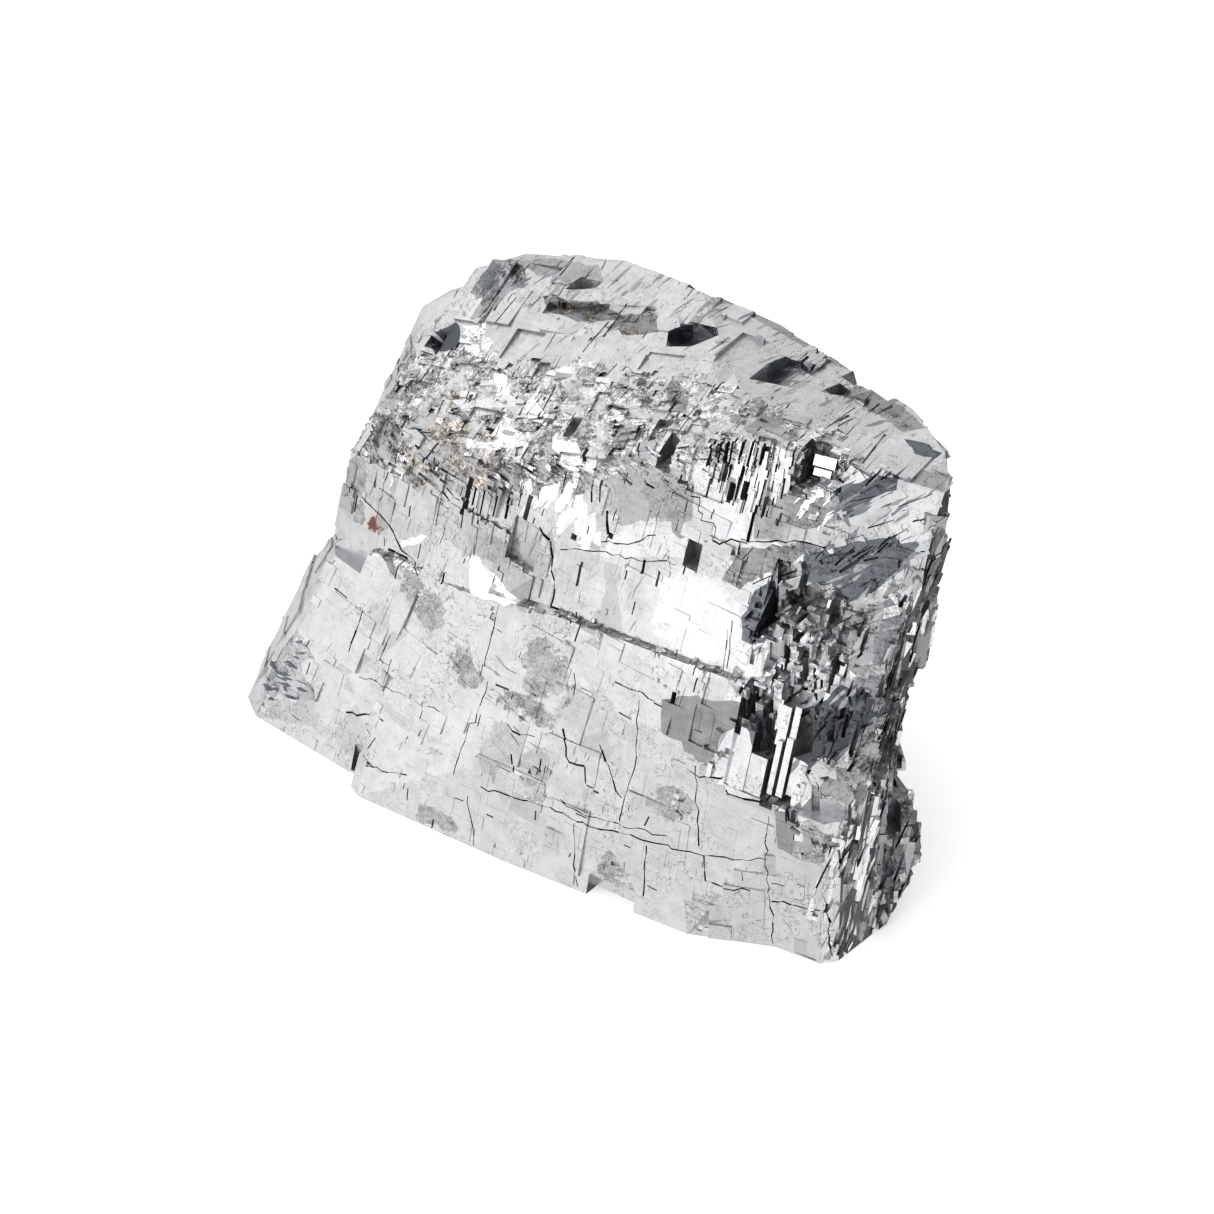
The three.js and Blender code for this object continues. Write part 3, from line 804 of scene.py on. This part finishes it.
TOP_FACETS = {
    "tan groove": (0.4, 0.45, 1.0, (14.6, 22.6), (16.5, 22.6), (19.5, 22.4), (23.0, 21.6), (27.5, 21.5),
                   (28.7, 19.8), (26.2, 19.2), (22.5, 20.0), (19.0, 20.5), (16.0, 21.4)),
    "mottled corner": (0.55, 0.4, 1.0, (7.0, 26.6), (9.4, 26.4), (11.6, 24.0), (11.6, 21.8), (10.4, 20.5),
                       (8.6, 21.4), (6.8, 22.4)),
    "top slate": (0.3, 0.3, 0.1, (40.6, 16.4), (40.7, 18.8), (41.0, 20.0), (42.2, 20.1), (42.1, 18.4),
                  (41.3, 17.2)),
    "small slate": (0.3, 0.3, 0.1, (42.6, 20.0), (43.6, 20.6), (44.4, 20.1), (43.6, 19.5)),
    "top pit": (0.17, 0.3, 0.6, (29.7, 19.9), (31.1, 21.0), (33.7, 21.0), (33.9, 20.4), (32.8, 18.7),
                (30.8, 18.5)),
    "left dark facet": (0.3, 0.3, 0.7, (6.8, 25.8), (7.9, 25.2), (9.9, 22.6), (8.5, 22.3), (6.6, 23.9)),
    "black facet": (0.12, 0.3, 0, (7.2, 19.9), (8.4, 19.0), (9.2, 17.6), (8.2, 17.1), (6.8, 17.4),
                    (5.5, 18.5)),
    "sparkling patch": (1.25, 0.25, 0.9, (8.1, 19.6), (10.5, 19.9), (13.1, 16.5), (11.3, 16.3), (9.4, 17.7)),
    "bright block a": (1.4, 0.2, 0, (15.0, 15.2), (16.4, 15.3), (18.2, 13.2), (16.9, 12.9)),
    "bright block b": (1.5, 0.2, 0, (20.3, 12.6), (21.0, 12.9), (23.7, 11.4), (24.0, 10.6), (21.8, 11.1)),
    "bright block c": (1.4, 0.2, 0.1, (25.0, 9.4), (28.8, 8.7), (29.9, 7.6), (28.0, 7.6), (26.4, 8.4)),
    "curved strip": (0.95, 0.25, 0, (12.5, 12.6), (15.4, 12.7), (20.2, 13.0), (20.3, 12.3), (17.3, 11.7),
                     (14.0, 11.8)),
    "dark edge": (0.5, 0.4, 0.8, (46.5, 17.7), (48.0, 19.7), (52.0, 19.8), (56.5, 18.0), (55.3, 16.7),
                  (52.7, 17.3), (50.1, 18.1)),
    "dark corner": (0.25, 0.3, 0.6, (55.8, 16.1), (57.9, 16.6), (59.3, 16.3), (59.2, 15.4), (57.6, 14.9)),
    "dull streak": (0.6, 0.35, 0.2, (8.9, 26.2), (11.4, 26.9), (18.0, 26.0), (19.5, 24.6), (15.2, 24.2),
                    (12.4, 25.0)),
    "brow column": (0.45, 0.4, 0.6, (33.6, 15.0), (35.3, 14.8), (36.7, 13.3), (37.4, 11.8), (36.1, 11.7),
                    (34.4, 13.4)),
}


TARNISHED = {"tan groove": 1.0, "rust line": 1.0}  # facets with a brown tarnish, and how brown

# Feathers are small lens-shaped facets in sets. Each set is its middle and half spread, the way it runs
# in degrees, how many it has, their length and width, and how bright they are: the sets above 1 are
# painted glints, and the dark sets are painted shade.
FRONT_FEATHERS = [
    ((28.6, 27.9), (3.8, 2.1), 62, 17, (1.4, 3.4), (0.4, 1.2), 1.6),
    ((26.0, 24.6), (4.0, 2.4), 75, 10, (0.8, 2.2), (0.15, 0.45), 0.7),
    ((51.9, 34.5), (1.9, 1.1), 55, 11, (0.7, 2.0), (0.15, 0.4), 1.7),
    ((56.4, 36.6), (2.8, 1.4), 38, 10, (1.0, 3.0), (0.12, 0.4), 0.35),
    ((59.6, 37.0), (2.0, 1.6), 40, 5, (0.8, 2.4), (0.1, 0.3), 0.5),
    ((57.5, 31.5), (3.2, 2.2), 40, 9, (0.8, 2.6), (0.12, 0.4), 0.6),
    ((54.2, 26.8), (3.4, 3.6), 60, 12, (0.9, 3.0), (0.2, 0.6), 0.7),
    ((59.3, 26.5), (1.9, 3.5), 60, 12, (1.0, 3.4), (0.15, 0.45), 0.6),
    ((59.3, 20.0), (2.3, 3.0), 62, 6, (0.8, 2.4), (0.15, 0.4), 0.45),
    ((2.9, 3.0), (0.9, 1.2), 21, 13, (0.8, 2.4), (0.1, 0.34), 0.2),
    ((5.3, 3.7), (1.6, 0.9), 8, 9, (0.8, 2.4), (0.1, 0.34), 0.2),
    ((4.5, 5.9), (0.8, 1.1), 12, 8, (0.6, 1.6), (0.1, 0.3), 0.2),
    ((31.0, 12.6), (4.2, 3.2), -8, 23, (0.5, 2.0), (0.07, 0.25), 0.55),
    ((24.5, 14.0), (4.0, 2.6), -8, 12, (0.4, 1.6), (0.07, 0.2), 0.6),
    ((38.5, 9.5), (4.5, 3.5), 80, 14, (0.4, 1.4), (0.06, 0.18), 0.5),
    ((16.0, 22.5), (7.0, 3.5), 80, 18, (0.5, 2.0), (0.08, 0.25), 0.6),
    ((37.0, 24.0), (3.5, 4.0), 75, 8, (0.5, 1.6), (0.06, 0.2), 0.65),
]
TOP_FEATHERS = [
    ((46.5, 18.3), (7.5, 2.2), 62, 31, (0.6, 2.2), (0.12, 0.45), 0.45),
    ((38.0, 21.5), (6.5, 2.8), 66, 27, (0.8, 2.8), (0.12, 0.45), 0.5),
    ((24.0, 24.5), (9.0, 2.4), 70, 30, (0.8, 3.0), (0.15, 0.6), 0.55),
    ((24.0, 17.8), (9.5, 2.2), 60, 15, (0.6, 2.4), (0.1, 0.35), 0.6),
    ((11.5, 24.5), (3.2, 2.2), 62, 18, (0.5, 1.8), (0.12, 0.4), 0.35),
    ((21.0, 21.0), (6.0, 0.9), 5, 12, (0.6, 2.0), (0.1, 0.35), 0.35),
    ((42.0, 13.0), (6.0, 2.4), 40, 20, (0.5, 2.2), (0.1, 0.35), 0.55),
]


class Sheet:
    """A flat drawing of one side of the lump: which two measures it is drawn in and which way it looks."""

    def __init__(self, axes, look):
        self.axes = axes
        self.look = np.array(look)

    def flat(self, places):
        return places[..., self.axes]


FRONT = Sheet((0, 2), (0, -1, 0))
TOP = Sheet((0, 1), (0, 0, 1))


def ragged(outline, chance):
    """An outline with its longer edges broken by a small step or two."""
    outline = np.array(outline)
    bends = []
    for start, end in zip(outline, np.roll(outline, -1, axis=0)):
        bends += crooked(start, end, chance, stride=0.8, stray=0.14)
    return np.array(bends)


def feathers(sets, chance):
    """Each set's feathers, as named facets: brightness, roughness, brokenness and outline."""
    steps = np.array((-1, -0.35, 0.4, 1, 0.35, -0.4))
    sides = np.array((0, 0.95, 0.9, 0, -0.95, -0.9))
    turn_spread = 0.14
    stray = 0.06
    roughness = 0.3
    brokenness = 0.15
    made = {}
    for number, (middle, spread, way, count, length, width, bright) in enumerate(sets):
        for which in range(count):
            turn = math.radians(way) + chance.normal(0, turn_spread)
            along = np.array((math.cos(turn), math.sin(turn)))
            across = np.array((-along[1], along[0]))
            far = steps * chance.uniform(*length) / 2 + chance.normal(0, stray, len(steps))
            wide = sides * chance.uniform(*width) / 2 * chance.uniform(0.5, 1.5, len(sides))
            centre = np.array(middle) + np.array(spread) * chance.uniform(-1, 1, 2)
            outline = centre + far[:, None] * along + wide[:, None] * across
            shade = bright * chance.uniform(0.8, 1.15)
            made[f"feather {number} {which}"] = (shade, roughness, brokenness, *map(tuple, outline))
    return made


def inside(spots, outline):
    """Which flat spots an outline holds."""
    x, y = spots.T
    held = np.zeros(len(spots), dtype=bool)
    for (ax, ay), (bx, by) in zip(outline, np.roll(outline, -1, axis=0)):
        crosses = (ay > y) != (by > y)
        held ^= crosses & (x < ax + (bx - ax) * (y - ay) / (by - ay if by != ay else 1))
    return held


def extent(spots):
    """The lowest and the highest that flat spots go, each way."""
    return [[pick(spot[i] for spot in spots) for i in (0, 1)] for pick in (min, max)]


class Piece:
    """A face of the lump and how far it reaches over a sheet."""

    def __init__(self, face, sheet):
        u, v = sheet.axes
        self.face = face
        self.low, self.high = extent([(corner.co[u], corner.co[v]) for corner in face.verts])

    def meets(self, low, high):
        over = self.low[0] <= high[0] and self.low[1] <= high[1]
        return over and self.high[0] >= low[0] and self.high[1] >= low[1]


def split_face(face, side):
    """Splits one face in two where a side() of its corners changes sign; gives the new face, or None."""
    touching = 1e-7
    for edge in list(face.edges):
        first, second = (side(corner) for corner in edge.verts)
        if first * second < 0 and min(abs(first), abs(second)) > touching:
            bmesh.utils.edge_split(edge, edge.verts[0], first / (first - second))
    marks = [corner for corner in face.verts if abs(side(corner)) <= touching]
    if len(marks) != 2 or any(edge.other_vert(marks[0]) == marks[1] for edge in marks[0].link_edges):
        return None
    return bmesh.utils.face_split(face, *marks)[0]


def split_along(mesh, sheet, outlines):
    """Splits the faces that look the sheet's way along the drawn outlines, without moving them."""
    facing = 0.12
    shape = bmesh.new()
    shape.from_mesh(mesh)
    u, v = sheet.axes
    pieces = [Piece(face, sheet) for face in shape.faces if face.normal.dot(sheet.look) > facing]
    for outline in outlines:
        drawn = np.zeros((len(outline), 3))
        drawn[:, sheet.axes] = outline
        flat = metres(drawn)[:, sheet.axes].tolist()
        low, high = extent(flat)
        held = [piece for piece in pieces if piece.meets(low, high)]
        for start, end in zip(flat, flat[1:] + flat[:1]):
            length = math.dist(start, end)
            across = ((start[1] - end[1]) / length, (end[0] - start[0]) / length)

            def side(corner):
                return (corner.co[u] - start[0]) * across[0] + (corner.co[v] - start[1]) * across[1]

            low, high = extent((start, end))
            for piece in [piece for piece in held if piece.meets(low, high)]:
                made = split_face(piece.face, side)
                if made:
                    held.append(Piece(made, sheet))
                    pieces.append(held[-1])
    shape.to_mesh(mesh)
    shape.free()


# ---------------------------------------------------------------- how each face looks
class Faces(Surface):
    """The faces of a mesh, each made of one or more triangles."""

    def __init__(self, mesh):
        super().__init__(mesh)
        sliver = 1e-9
        self.areas += sliver
        self.middles = sum(self.corners) / 3
        self.count = len(mesh.polygons)
        self.owners = np.empty(len(self.areas), dtype=int)
        mesh.loop_triangles.foreach_get("polygon_index", self.owners)

    def totals(self, values):
        """What the triangles of each face have in all."""
        return np.bincount(self.owners, values, self.count)

    def widest(self):
        """The widest triangle of each face."""
        order = np.argsort(self.areas)
        best = np.zeros(self.count, dtype=int)
        best[self.owners[order]] = order
        return best

    def openness(self):
        """How much of its surroundings each face sees past the lump itself, from 0 to 1."""
        looks = 5
        slant = 0.7
        lift = 0.02
        far = 3.0
        nearly_free = 0.6  # what a look counts that meets the lump only just short of far
        side = unit(np.cross(self.normals, (0.3, 0.5, 0.81)))
        other = np.cross(self.normals, side)
        starts = (self.middles + self.normals * lift).tolist()
        free = np.zeros(len(starts))
        for turn in np.arange(looks) * math.tau / looks:
            across = side * (math.cos(turn) * slant) + other * (math.sin(turn) * slant)
            for i, way in enumerate((across + self.normals * slant).tolist()):
                hit = self.tree.ray_cast(starts[i], way, far)
                free[i] += 1 if hit[0] is None else hit[3] / far * nearly_free
        return self.totals(free * self.areas) / self.totals(self.areas) / looks


def one_per_plane(chance, centres, normals):
    """A number from 0 to 1 for each face, the same for faces in one plane."""
    turns_apart = 40
    planes_per_millimetre = 12
    distances = (centres * normals).sum(1)
    keys = np.round(np.column_stack([normals * turns_apart, distances * planes_per_millimetre])).astype(int)
    _, which = np.unique(keys, axis=0, return_inverse=True)
    which = which.ravel()
    return chance.random(which.max() + 1)[which]


# Every face carries three numbers for its look, and three for its marks: raked, steep and warm.
# The look's brightness holds painted shade and painted highlights.
BRIGHT, ROUGH, BROKEN = range(3)
WARM = 2  # the last of the marks


def paint(mesh, chance, outlines):
    """Gives every face its brightness with painted shade and highlights, roughness, brokenness and markings,
    from where it is.
    """
    small_area = 2.5
    faces = Faces(mesh)
    count = faces.count
    widest = faces.widest()
    centres = faces.middles[widest]
    normals = faces.normals[widest]
    small = faces.totals(faces.areas) < small_area
    luck = np.where(small, one_per_plane(chance, centres, normals), 0.5)
    again = np.where(small, one_per_plane(chance, centres, normals), 0.5)

    look = np.column_stack([0.95 - 0.25 * luck, 0.3 + 0.15 * again, np.full(count, 0.06)])
    marks = np.zeros((count, 3))

    def within(where, shade, roughness, brokenness, raked=0.0, steep=0.0, warm=0.0):
        held = where(centres, normals)
        look[held] = np.column_stack([shade, np.full(count, roughness), np.full(count, brokenness)])[held]
        marks[held] = (raked, steep, warm)

    def some(share, rare, usual):
        """The rare shade for a share of the faces, and the usual one for the others."""
        return np.where(again < share, rare, usual)

    within(on_lower_front, some(0.05, 0.8, 0.98 - 0.07 * luck), 0.3, 0.04)
    within(on_upper_left, some(0.1, 0.7, 1.0 - 0.16 * luck), 0.3, 0.06, steep=0.15)
    within(on_upper_right, 1.02 - 0.1 * luck, 0.25, 0.02)
    within(on_top, some(0.1, 0.6, 0.98 - 0.16 * luck), 0.36, 0.1, raked=0.8)
    # Painted light: the right side's faces are painted brighter than clean galena.
    within(on_right, some(0.14, 0.5, 1.6 - 0.3 * luck), 0.3, 0.06, steep=0.7)
    within(on_ledge, some(0.2, 1.3, 0.45 + 0.45 * luck), 0.38, 0.9, warm=0.6)
    within(on_right_brow, some(0.12, 0.4, 0.84 - 0.14 * luck), 0.3, 0.06, raked=0.7)
    within(on_comb, some(0.2, 0.6, 1.1 + 0.3 * luck), 0.3, 0.1, steep=0.4)
    rightward = np.interp(centres[:, 0], (24, 34), (1.06, 1.14))
    within(on_rough_band, some(0.16, 1.25, 0.58 + 0.4 * luck) * rightward, 0.38, 0.8, raked=0.1, warm=0.2)
    marks[on_brown_brow(centres, normals), WARM] = 0.9
    within(in_pocket, some(0.25, 1.4, 0.45 + 0.5 * luck), 0.38, 0.7)
    # Painted shade: the hollow's big planes are painted dark. The recess is painted brighter, a painted
    # highlight against its shade.
    hollow_shade = np.where(small, 0.35 + 0.45 * luck, 0.25)
    within(in_hollow, some(0.2, 1.1, hollow_shade), 0.38, 0.6, steep=0.5, raked=0.4)
    within(in_recess, some(0.25, 1.5, 0.75 + 0.8 * luck), 0.4, 0.3, steep=0.4, raked=0.2)
    within(on_left_end, 0.9 - 0.08 * luck, 0.35, 0.05)
    within(on_knob, some(0.2, 1.2, 0.4 + 0.35 * luck), 0.35, 0.25, steep=0.4)
    for spot, size in CRUMBLED.items():
        within(beside(spot, size * 0.8), some(0.15, 1.3, 0.7 + 0.35 * luck), 0.35, 0.6)
    # Painted shade: faces that the lump hides from their surroundings, in cracks, pits and hollows, are
    # painted darker. On the facets this painted shade goes no lower than 0.7.
    free = faces.openness()
    painted_shade = np.interp(free, (0.15, 0.7), (0.2, 1))
    facet_painted_shade = np.maximum(painted_shade, 0.7)
    facet_luck = 0.94 + 0.12 * luck
    fainter = 0.4
    look[:, BRIGHT] *= painted_shade
    # Facets and feathers overwrite the brightness with their painted highlights and painted shade.
    for sheet, facets in outlines:
        looks = normals @ sheet.look > -0.05
        for name, outline, (shade, roughness, brokenness) in facets:
            held = looks & inside(sheet.flat(centres), outline)
            look[held, BRIGHT] = shade * facet_luck[held] * facet_painted_shade[held]
            look[held, ROUGH] = roughness
            look[held, BROKEN] = brokenness
            marks[held] *= fainter
            marks[held, WARM] = TARNISHED.get(name, 0)
    look[:, ROUGH] += np.interp(free, (0.25, 0.7), (0.25, 0))
    for name, values in (("look", look), ("marks", marks)):
        layer = mesh.attributes.new(name, "FLOAT_VECTOR", "FACE")
        layer.data.foreach_set("vector", values.astype(np.float32).ravel())


# ---------------------------------------------------------------- finish
# Soft patches of the front: middle (x, z), half width and half height, how far they lean in radians,
# and how dull they are.
DULL_PATCHES = [
    ((17.0, 15.2), (3.3, 1.3), -0.2, 0.3), ((24.0, 12.8), (2.2, 1.0), -0.1, 0.36),
    ((31.3, 12.5), (2.9, 1.0), 0.1, 0.42), ((24.6, 1.0), (2.0, 0.7), 0.0, 0.32),
    ((19.5, 6.9), (3.4, 0.45), 0.0, 0.12), ((32.0, 15.8), (2.8, 2.0), -0.4, 0.3),
    ((37.5, 14.0), (3.4, 2.2), -0.2, 0.12), ((8.0, 24.8), (2.4, 1.0), 0.0, 0.36),
    ((5.3, 20.2), (1.5, 1.6), 0.0, 0.28), ((6.4, 17.6), (1.1, 0.9), 0.0, 0.36),
    ((22.0, 21.5), (3.4, 1.6), 0.2, 0.18), ((26.6, 21.5), (3.4, 2.6), 0.2, 0.14),
    ((22.6, 26.3), (2.0, 0.9), 0.1, 0.28), ((47.0, 10.6), (1.9, 1.4), 0.0, 0.3),
    ((42.6, 3.0), (1.2, 1.4), 0.3, 0.3), ((29.5, 8.6), (1.6, 2.2), 0.2, 0.2),
    ((33.6, 8.8), (1.4, 1.6), 0.2, 0.22), ((12.5, 12.0), (1.3, 1.2), 0.0, 0.12),
]
RUST_SPOT = (8.4, 17.3)  # (x, z)
GLARE = ((45.2, 24.3), (6.0, 3.7))  # the painted highlight, where the front is painted brightest: its middle, half width and half height


# The crystal's own small blocks, finest first: how many go to a millimetre along X, Y and Z, then how
# much they differ in brightness and how much in tilt, each on broken ground and on any ground.
GRAINS = [
    ((6.9, 5.7, 7.7), (0.9, 0.0), (0.6, 0.0)),
    ((3.3, 2.9, 3.7), (0.6, 0.0), (0.5, 0.0)),
    ((1.15, 0.9, 1.3), (0.5, 0.05), (0.4, 0.035)),
    ((0.32, 0.3, 0.4), (0.0, 0.06), (0.0, 0.03)),
]
HALF = (0.5, 0.5, 0.5)
METAL = (0.60, 0.607, 0.62, 1)
SLATE = (0.55, 0.585, 0.66, 1)
TAN = (0.62, 0.56, 0.50, 1)
RUST = (0.11, 0.022, 0.012, 1)
FIBRE_LEAN = 0.34  # radians
RELIEF = 0.12 * MM
RELIEF_STRENGTH = 0.3


class Skin(Tree):
    """The lump's shader tree. It knows places in millimetres, the same places bent a little, and
    how far a face is turned to the front."""

    def __init__(self, tree):
        super().__init__(tree)
        spot = self.add("ShaderNodeTexCoord", output="Object")
        self.place = self.vector("SUBTRACT", self.vector("SCALE", spot, 1 / MM), tuple(CORNER))
        drift = self.vector("SUBTRACT", self.noise(self.place, 3, 0.7, 0.7, output="Color"), HALF)
        self.bent = self.vector("ADD", self.place, self.vector("SCALE", drift, 0.9))
        self.x = self.part(self.bent, 0)
        self.z = self.part(self.bent, 2)
        self.facing = self.add("ShaderNodeNewGeometry", output="Normal")
        self.front = self.part(self.facing, 1).between(-0.3, -0.5)
        self.mottle = self.noise(self.place, 5, 0.7, 0.8)
        self.crumble = self.noise(self.place, 4, 0.7, 1.5) - 0.5

    def noise(self, places, detail, rough, scale, output="Fac"):
        """Soft noise over places; three scales stretch it along X, Y and Z."""
        if isinstance(scale, tuple):
            places = self.vector("MULTIPLY", places, scale)
            scale = 1.0
        inputs = {"Vector": places, "Scale": scale, "Detail": detail, "Roughness": rough}
        return self.add("ShaderNodeTexNoise", {}, inputs, output=output)

    def threads(self, places, detail, rough, scale, edge, core):
        """Thin lines that wander over the surface: 1 on a line and 0 beside it."""
        return (self.noise(places, detail, rough, scale) - 0.5).math("ABSOLUTE").between(edge, core)

    def painted(self, name):
        """The three numbers that every face carries under this name."""
        settings = {"attribute_type": "GEOMETRY", "attribute_name": name}
        values = self.add("ShaderNodeAttribute", settings, output="Vector")
        return [self.part(values, index) for index in range(3)]

    def grains(self, scales):
        """A number and a way around nought that stay the same over each small block of the crystal."""
        block = self.vector("FLOOR", self.vector("MULTIPLY", self.bent, scales))
        number = self.add("ShaderNodeTexWhiteNoise", {}, {"Vector": block}, output="Value")
        way = self.add("ShaderNodeTexWhiteNoise", {}, {"Vector": block}, output="Color")
        return number - 0.5, self.vector("SUBTRACT", way, HALF)

    def oval(self, middle, halves, lean=0.0):
        """How far out a place of the front is, as a square: 1 at the oval's edge."""
        right = (self.x - middle[0]) * (1 / halves[0])
        up = (self.z - middle[1]) * (1 / halves[1])
        if lean:
            shape = halves[1] / halves[0]
            right, up = (right * math.cos(lean) + up * (math.sin(lean) * shape),
                         up * math.cos(lean) - right * (math.sin(lean) / shape))
        return right * right + up * up

    def mixed(self, first, second, factor):
        inputs = {"Factor": factor, "A": first, "B": second}
        return self.add("ShaderNodeMix", {"data_type": "RGBA"}, inputs, output="Result")


def dull_patches(skin):
    """How dull the front is, in soft patches with torn edges and paler scribbles."""
    bay = skin.noise(skin.place, 3, 0.6, 0.45) - 0.5
    torn = skin.crumble * 2.5 + bay * 4.0
    dull = 0.0
    for middle, halves, lean, depth in DULL_PATCHES:
        dull = (skin.oval(middle, halves, lean) + torn).between(1.1, 0.85) * depth + dull
    squiggle = skin.threads(skin.place, 4, 0.8, 1.9, 0.05, 0.0)
    return dull * skin.front * (squiggle * 0.9 + skin.mottle.between(0.38, 0.58) * 0.7 + 0.3)


def rust_and_stain(skin):
    """The one rust-red grain, and the brown stain around it."""
    on_front = skin.add("ShaderNodeCombineXYZ", {}, {0: skin.x, 2: skin.z})
    away = skin.vector("DISTANCE", on_front, (RUST_SPOT[0], 0, RUST_SPOT[1]))
    rust = (away + skin.crumble * 2.0).between(0.8, 0.5) * skin.front
    stain = away.between(2.2, 0.8) * skin.front * skin.mottle.between(0.42, 0.6)
    return rust, stain


def galena_finish():
    """Bright lead-grey metal whose small blocks catch the light unevenly, with its wear over it and a painted
    highlight on the front.
    """
    finish = bpy.data.materials.new("galena")
    finish.use_nodes = True
    finish.node_tree.nodes.clear()
    skin = Skin(finish.node_tree)
    place, bent, mottle = skin.place, skin.bent, skin.mottle
    bright, rough, broken = skin.painted("look")
    raked, steep, warm = skin.painted("marks")
    patchy = skin.noise(bent, 3, 0.6, (0.3, 0.5, 0.8))
    broken = broken * (patchy.between(0.42, 0.56) * 0.8 + 0.2)
    raked = raked * skin.noise(place, 2, 0.5, 0.16).between(0.42, 0.6)

    upright = skin.noise(place, 2, 0.6, (3.4, 3.4, 0.3))
    level = skin.noise(place, 2, 0.6, (0.3, 0.3, 3.4))
    lean = {"Vector": place, "Angle": FIBRE_LEAN}
    leaned = skin.add("ShaderNodeVectorRotate", {"rotation_type": "X_AXIS"}, lean)
    fibres = skin.noise(leaned, 3, 0.7, (2.6, 2.6, 0.25))
    streaks = skin.noise(bent, 3, 0.7, (2.2, 0.32, 2.2))
    lined = skin.noise(bent, 2, 0.6, (0.6, 0.6, 5.0))
    worn = skin.noise(place, 3, 0.6, 0.2).between(0.48, 0.6)
    scribble = skin.threads(bent, 2, 0.6, 1.1, 0.022, 0.004) * worn
    rubbed = skin.noise(place, 2, 0.6, 0.42).between(0.5, 0.62)
    scratches = skin.threads(bent, 3, 0.7, 2.4, 0.018, 0.004) * rubbed
    specks = skin.noise(place, 2, 0.7, 3.1).between(0.68, 0.76)
    dull = dull_patches(skin)
    rust, stain = rust_and_stain(skin)
    # Painted highlight: the glare brightens the colour and hides the small flaws.
    glare = (skin.oval(*GLARE) + skin.crumble * 1.6).between(1.3, 0.3) * skin.front
    seen = 1 - glare * 0.85  # small flaws drown in the glare

    shade = bright * (mottle.between(0.28, 0.6) * 0.14 + 0.88) * (glare * 0.34 + 1)
    facing = skin.facing
    for scales, (broken_shade, any_shade), (broken_tilt, any_tilt) in GRAINS:
        number, way = skin.grains(scales)
        shade = shade * (number * (broken * broken_shade + any_shade) + 1)
        facing = skin.vector("ADD", facing, skin.vector("SCALE", way, broken * broken_tilt + any_tilt))
    darker = (
        scribble * seen * 0.5,
        scratches * seen * 0.4,
        specks * seen * 0.5,
        upright.between(0.66, 0.72) * seen * 0.3,
        level.between(0.67, 0.73) * seen * 0.25,
        fibres.between(0.43, 0.37) * steep * 0.75,
        streaks.between(0.42, 0.34) * raked * 0.65,
        lined.between(0.5, 0.4) * broken * 0.6,
        broken * 0.15,
        dull,
    )
    for mark in darker:
        shade = shade * (1 - mark)
    height = mottle * 0.7 + upright * 0.3 + level * 0.2
    height = height + fibres * steep * 0.8 + streaks * raked * 0.6 - scribble * 0.3
    relief = {"Height": height, "Normal": skin.vector("NORMALIZE", facing), "Strength": RELIEF_STRENGTH,
              "Distance": RELIEF}

    # Faces painted darker, painted shade included, turn towards bluish slate.
    tone = skin.mixed(METAL, SLATE, bright.between(0.5, 0.2))
    tone = skin.mixed(tone, TAN, warm * patchy.between(0.4, 0.6) + stain * 0.8 + dull * 0.35)
    tone = skin.mixed(skin.vector("SCALE", tone, shade), RUST, rust)
    looks = {"Base Color": tone, "Metallic": 1 - rust, "Normal": skin.add("ShaderNodeBump", {}, relief),
             "Roughness": rough + mottle.between(0.4, 0.7) * 0.08 + dull * 0.4}
    shader = skin.add("ShaderNodeBsdfPrincipled", {}, looks)
    skin.add("ShaderNodeOutputMaterial", {}, {"Surface": shader})
    return finish


# ---------------------------------------------------------------- making
make_camera()
make_studio()
make_floor()

lump = merged_copy(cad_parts["galena_lump"], "carved_lump")
ground = Ground(lump.data)
chance = np.random.default_rng(SEED)
raised = Blocks()
for kind in RAISED:
    add_raised(raised, ground, chance, kind)
cut = Blocks()
for kind in CUT:
    add_notches(cut, ground, chance, kind)
add_plates(raised)
add_crumbs(raised, cut, ground, chance)
add_cracks(cut, ground, chance)
add_slots(cut, ground)
cut.add(*UNDER_FOOT, np.eye(3))
raised_points = raised.as_points("raised_blocks")
cut_points = cut.as_points("cut_blocks")
values = {"Raised blocks": raised_points, "Cut blocks": cut_points, "Finish": galena_finish()}
galena = through_tree(lump, blocks_tree(), values, "galena")
for helper in (lump, raised_points, cut_points):
    bpy.data.objects.remove(helper)

outlines = []
for sheet, facets, sets in ((FRONT, FRONT_FACETS, FRONT_FEATHERS), (TOP, TOP_FACETS, TOP_FEATHERS)):
    drawn = [(name, ragged(facet[3:], chance), facet[:3]) for name, facet in facets.items()]
    drawn += [(name, np.array(facet[3:]), facet[:3]) for name, facet in feathers(sets, chance).items()]
    outlines.append((sheet, drawn))
    split_along(galena.data, sheet, [outline for _, outline, _ in drawn])
paint(galena.data, chance, outlines)

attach(galena, "root")
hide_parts("galena_lump")
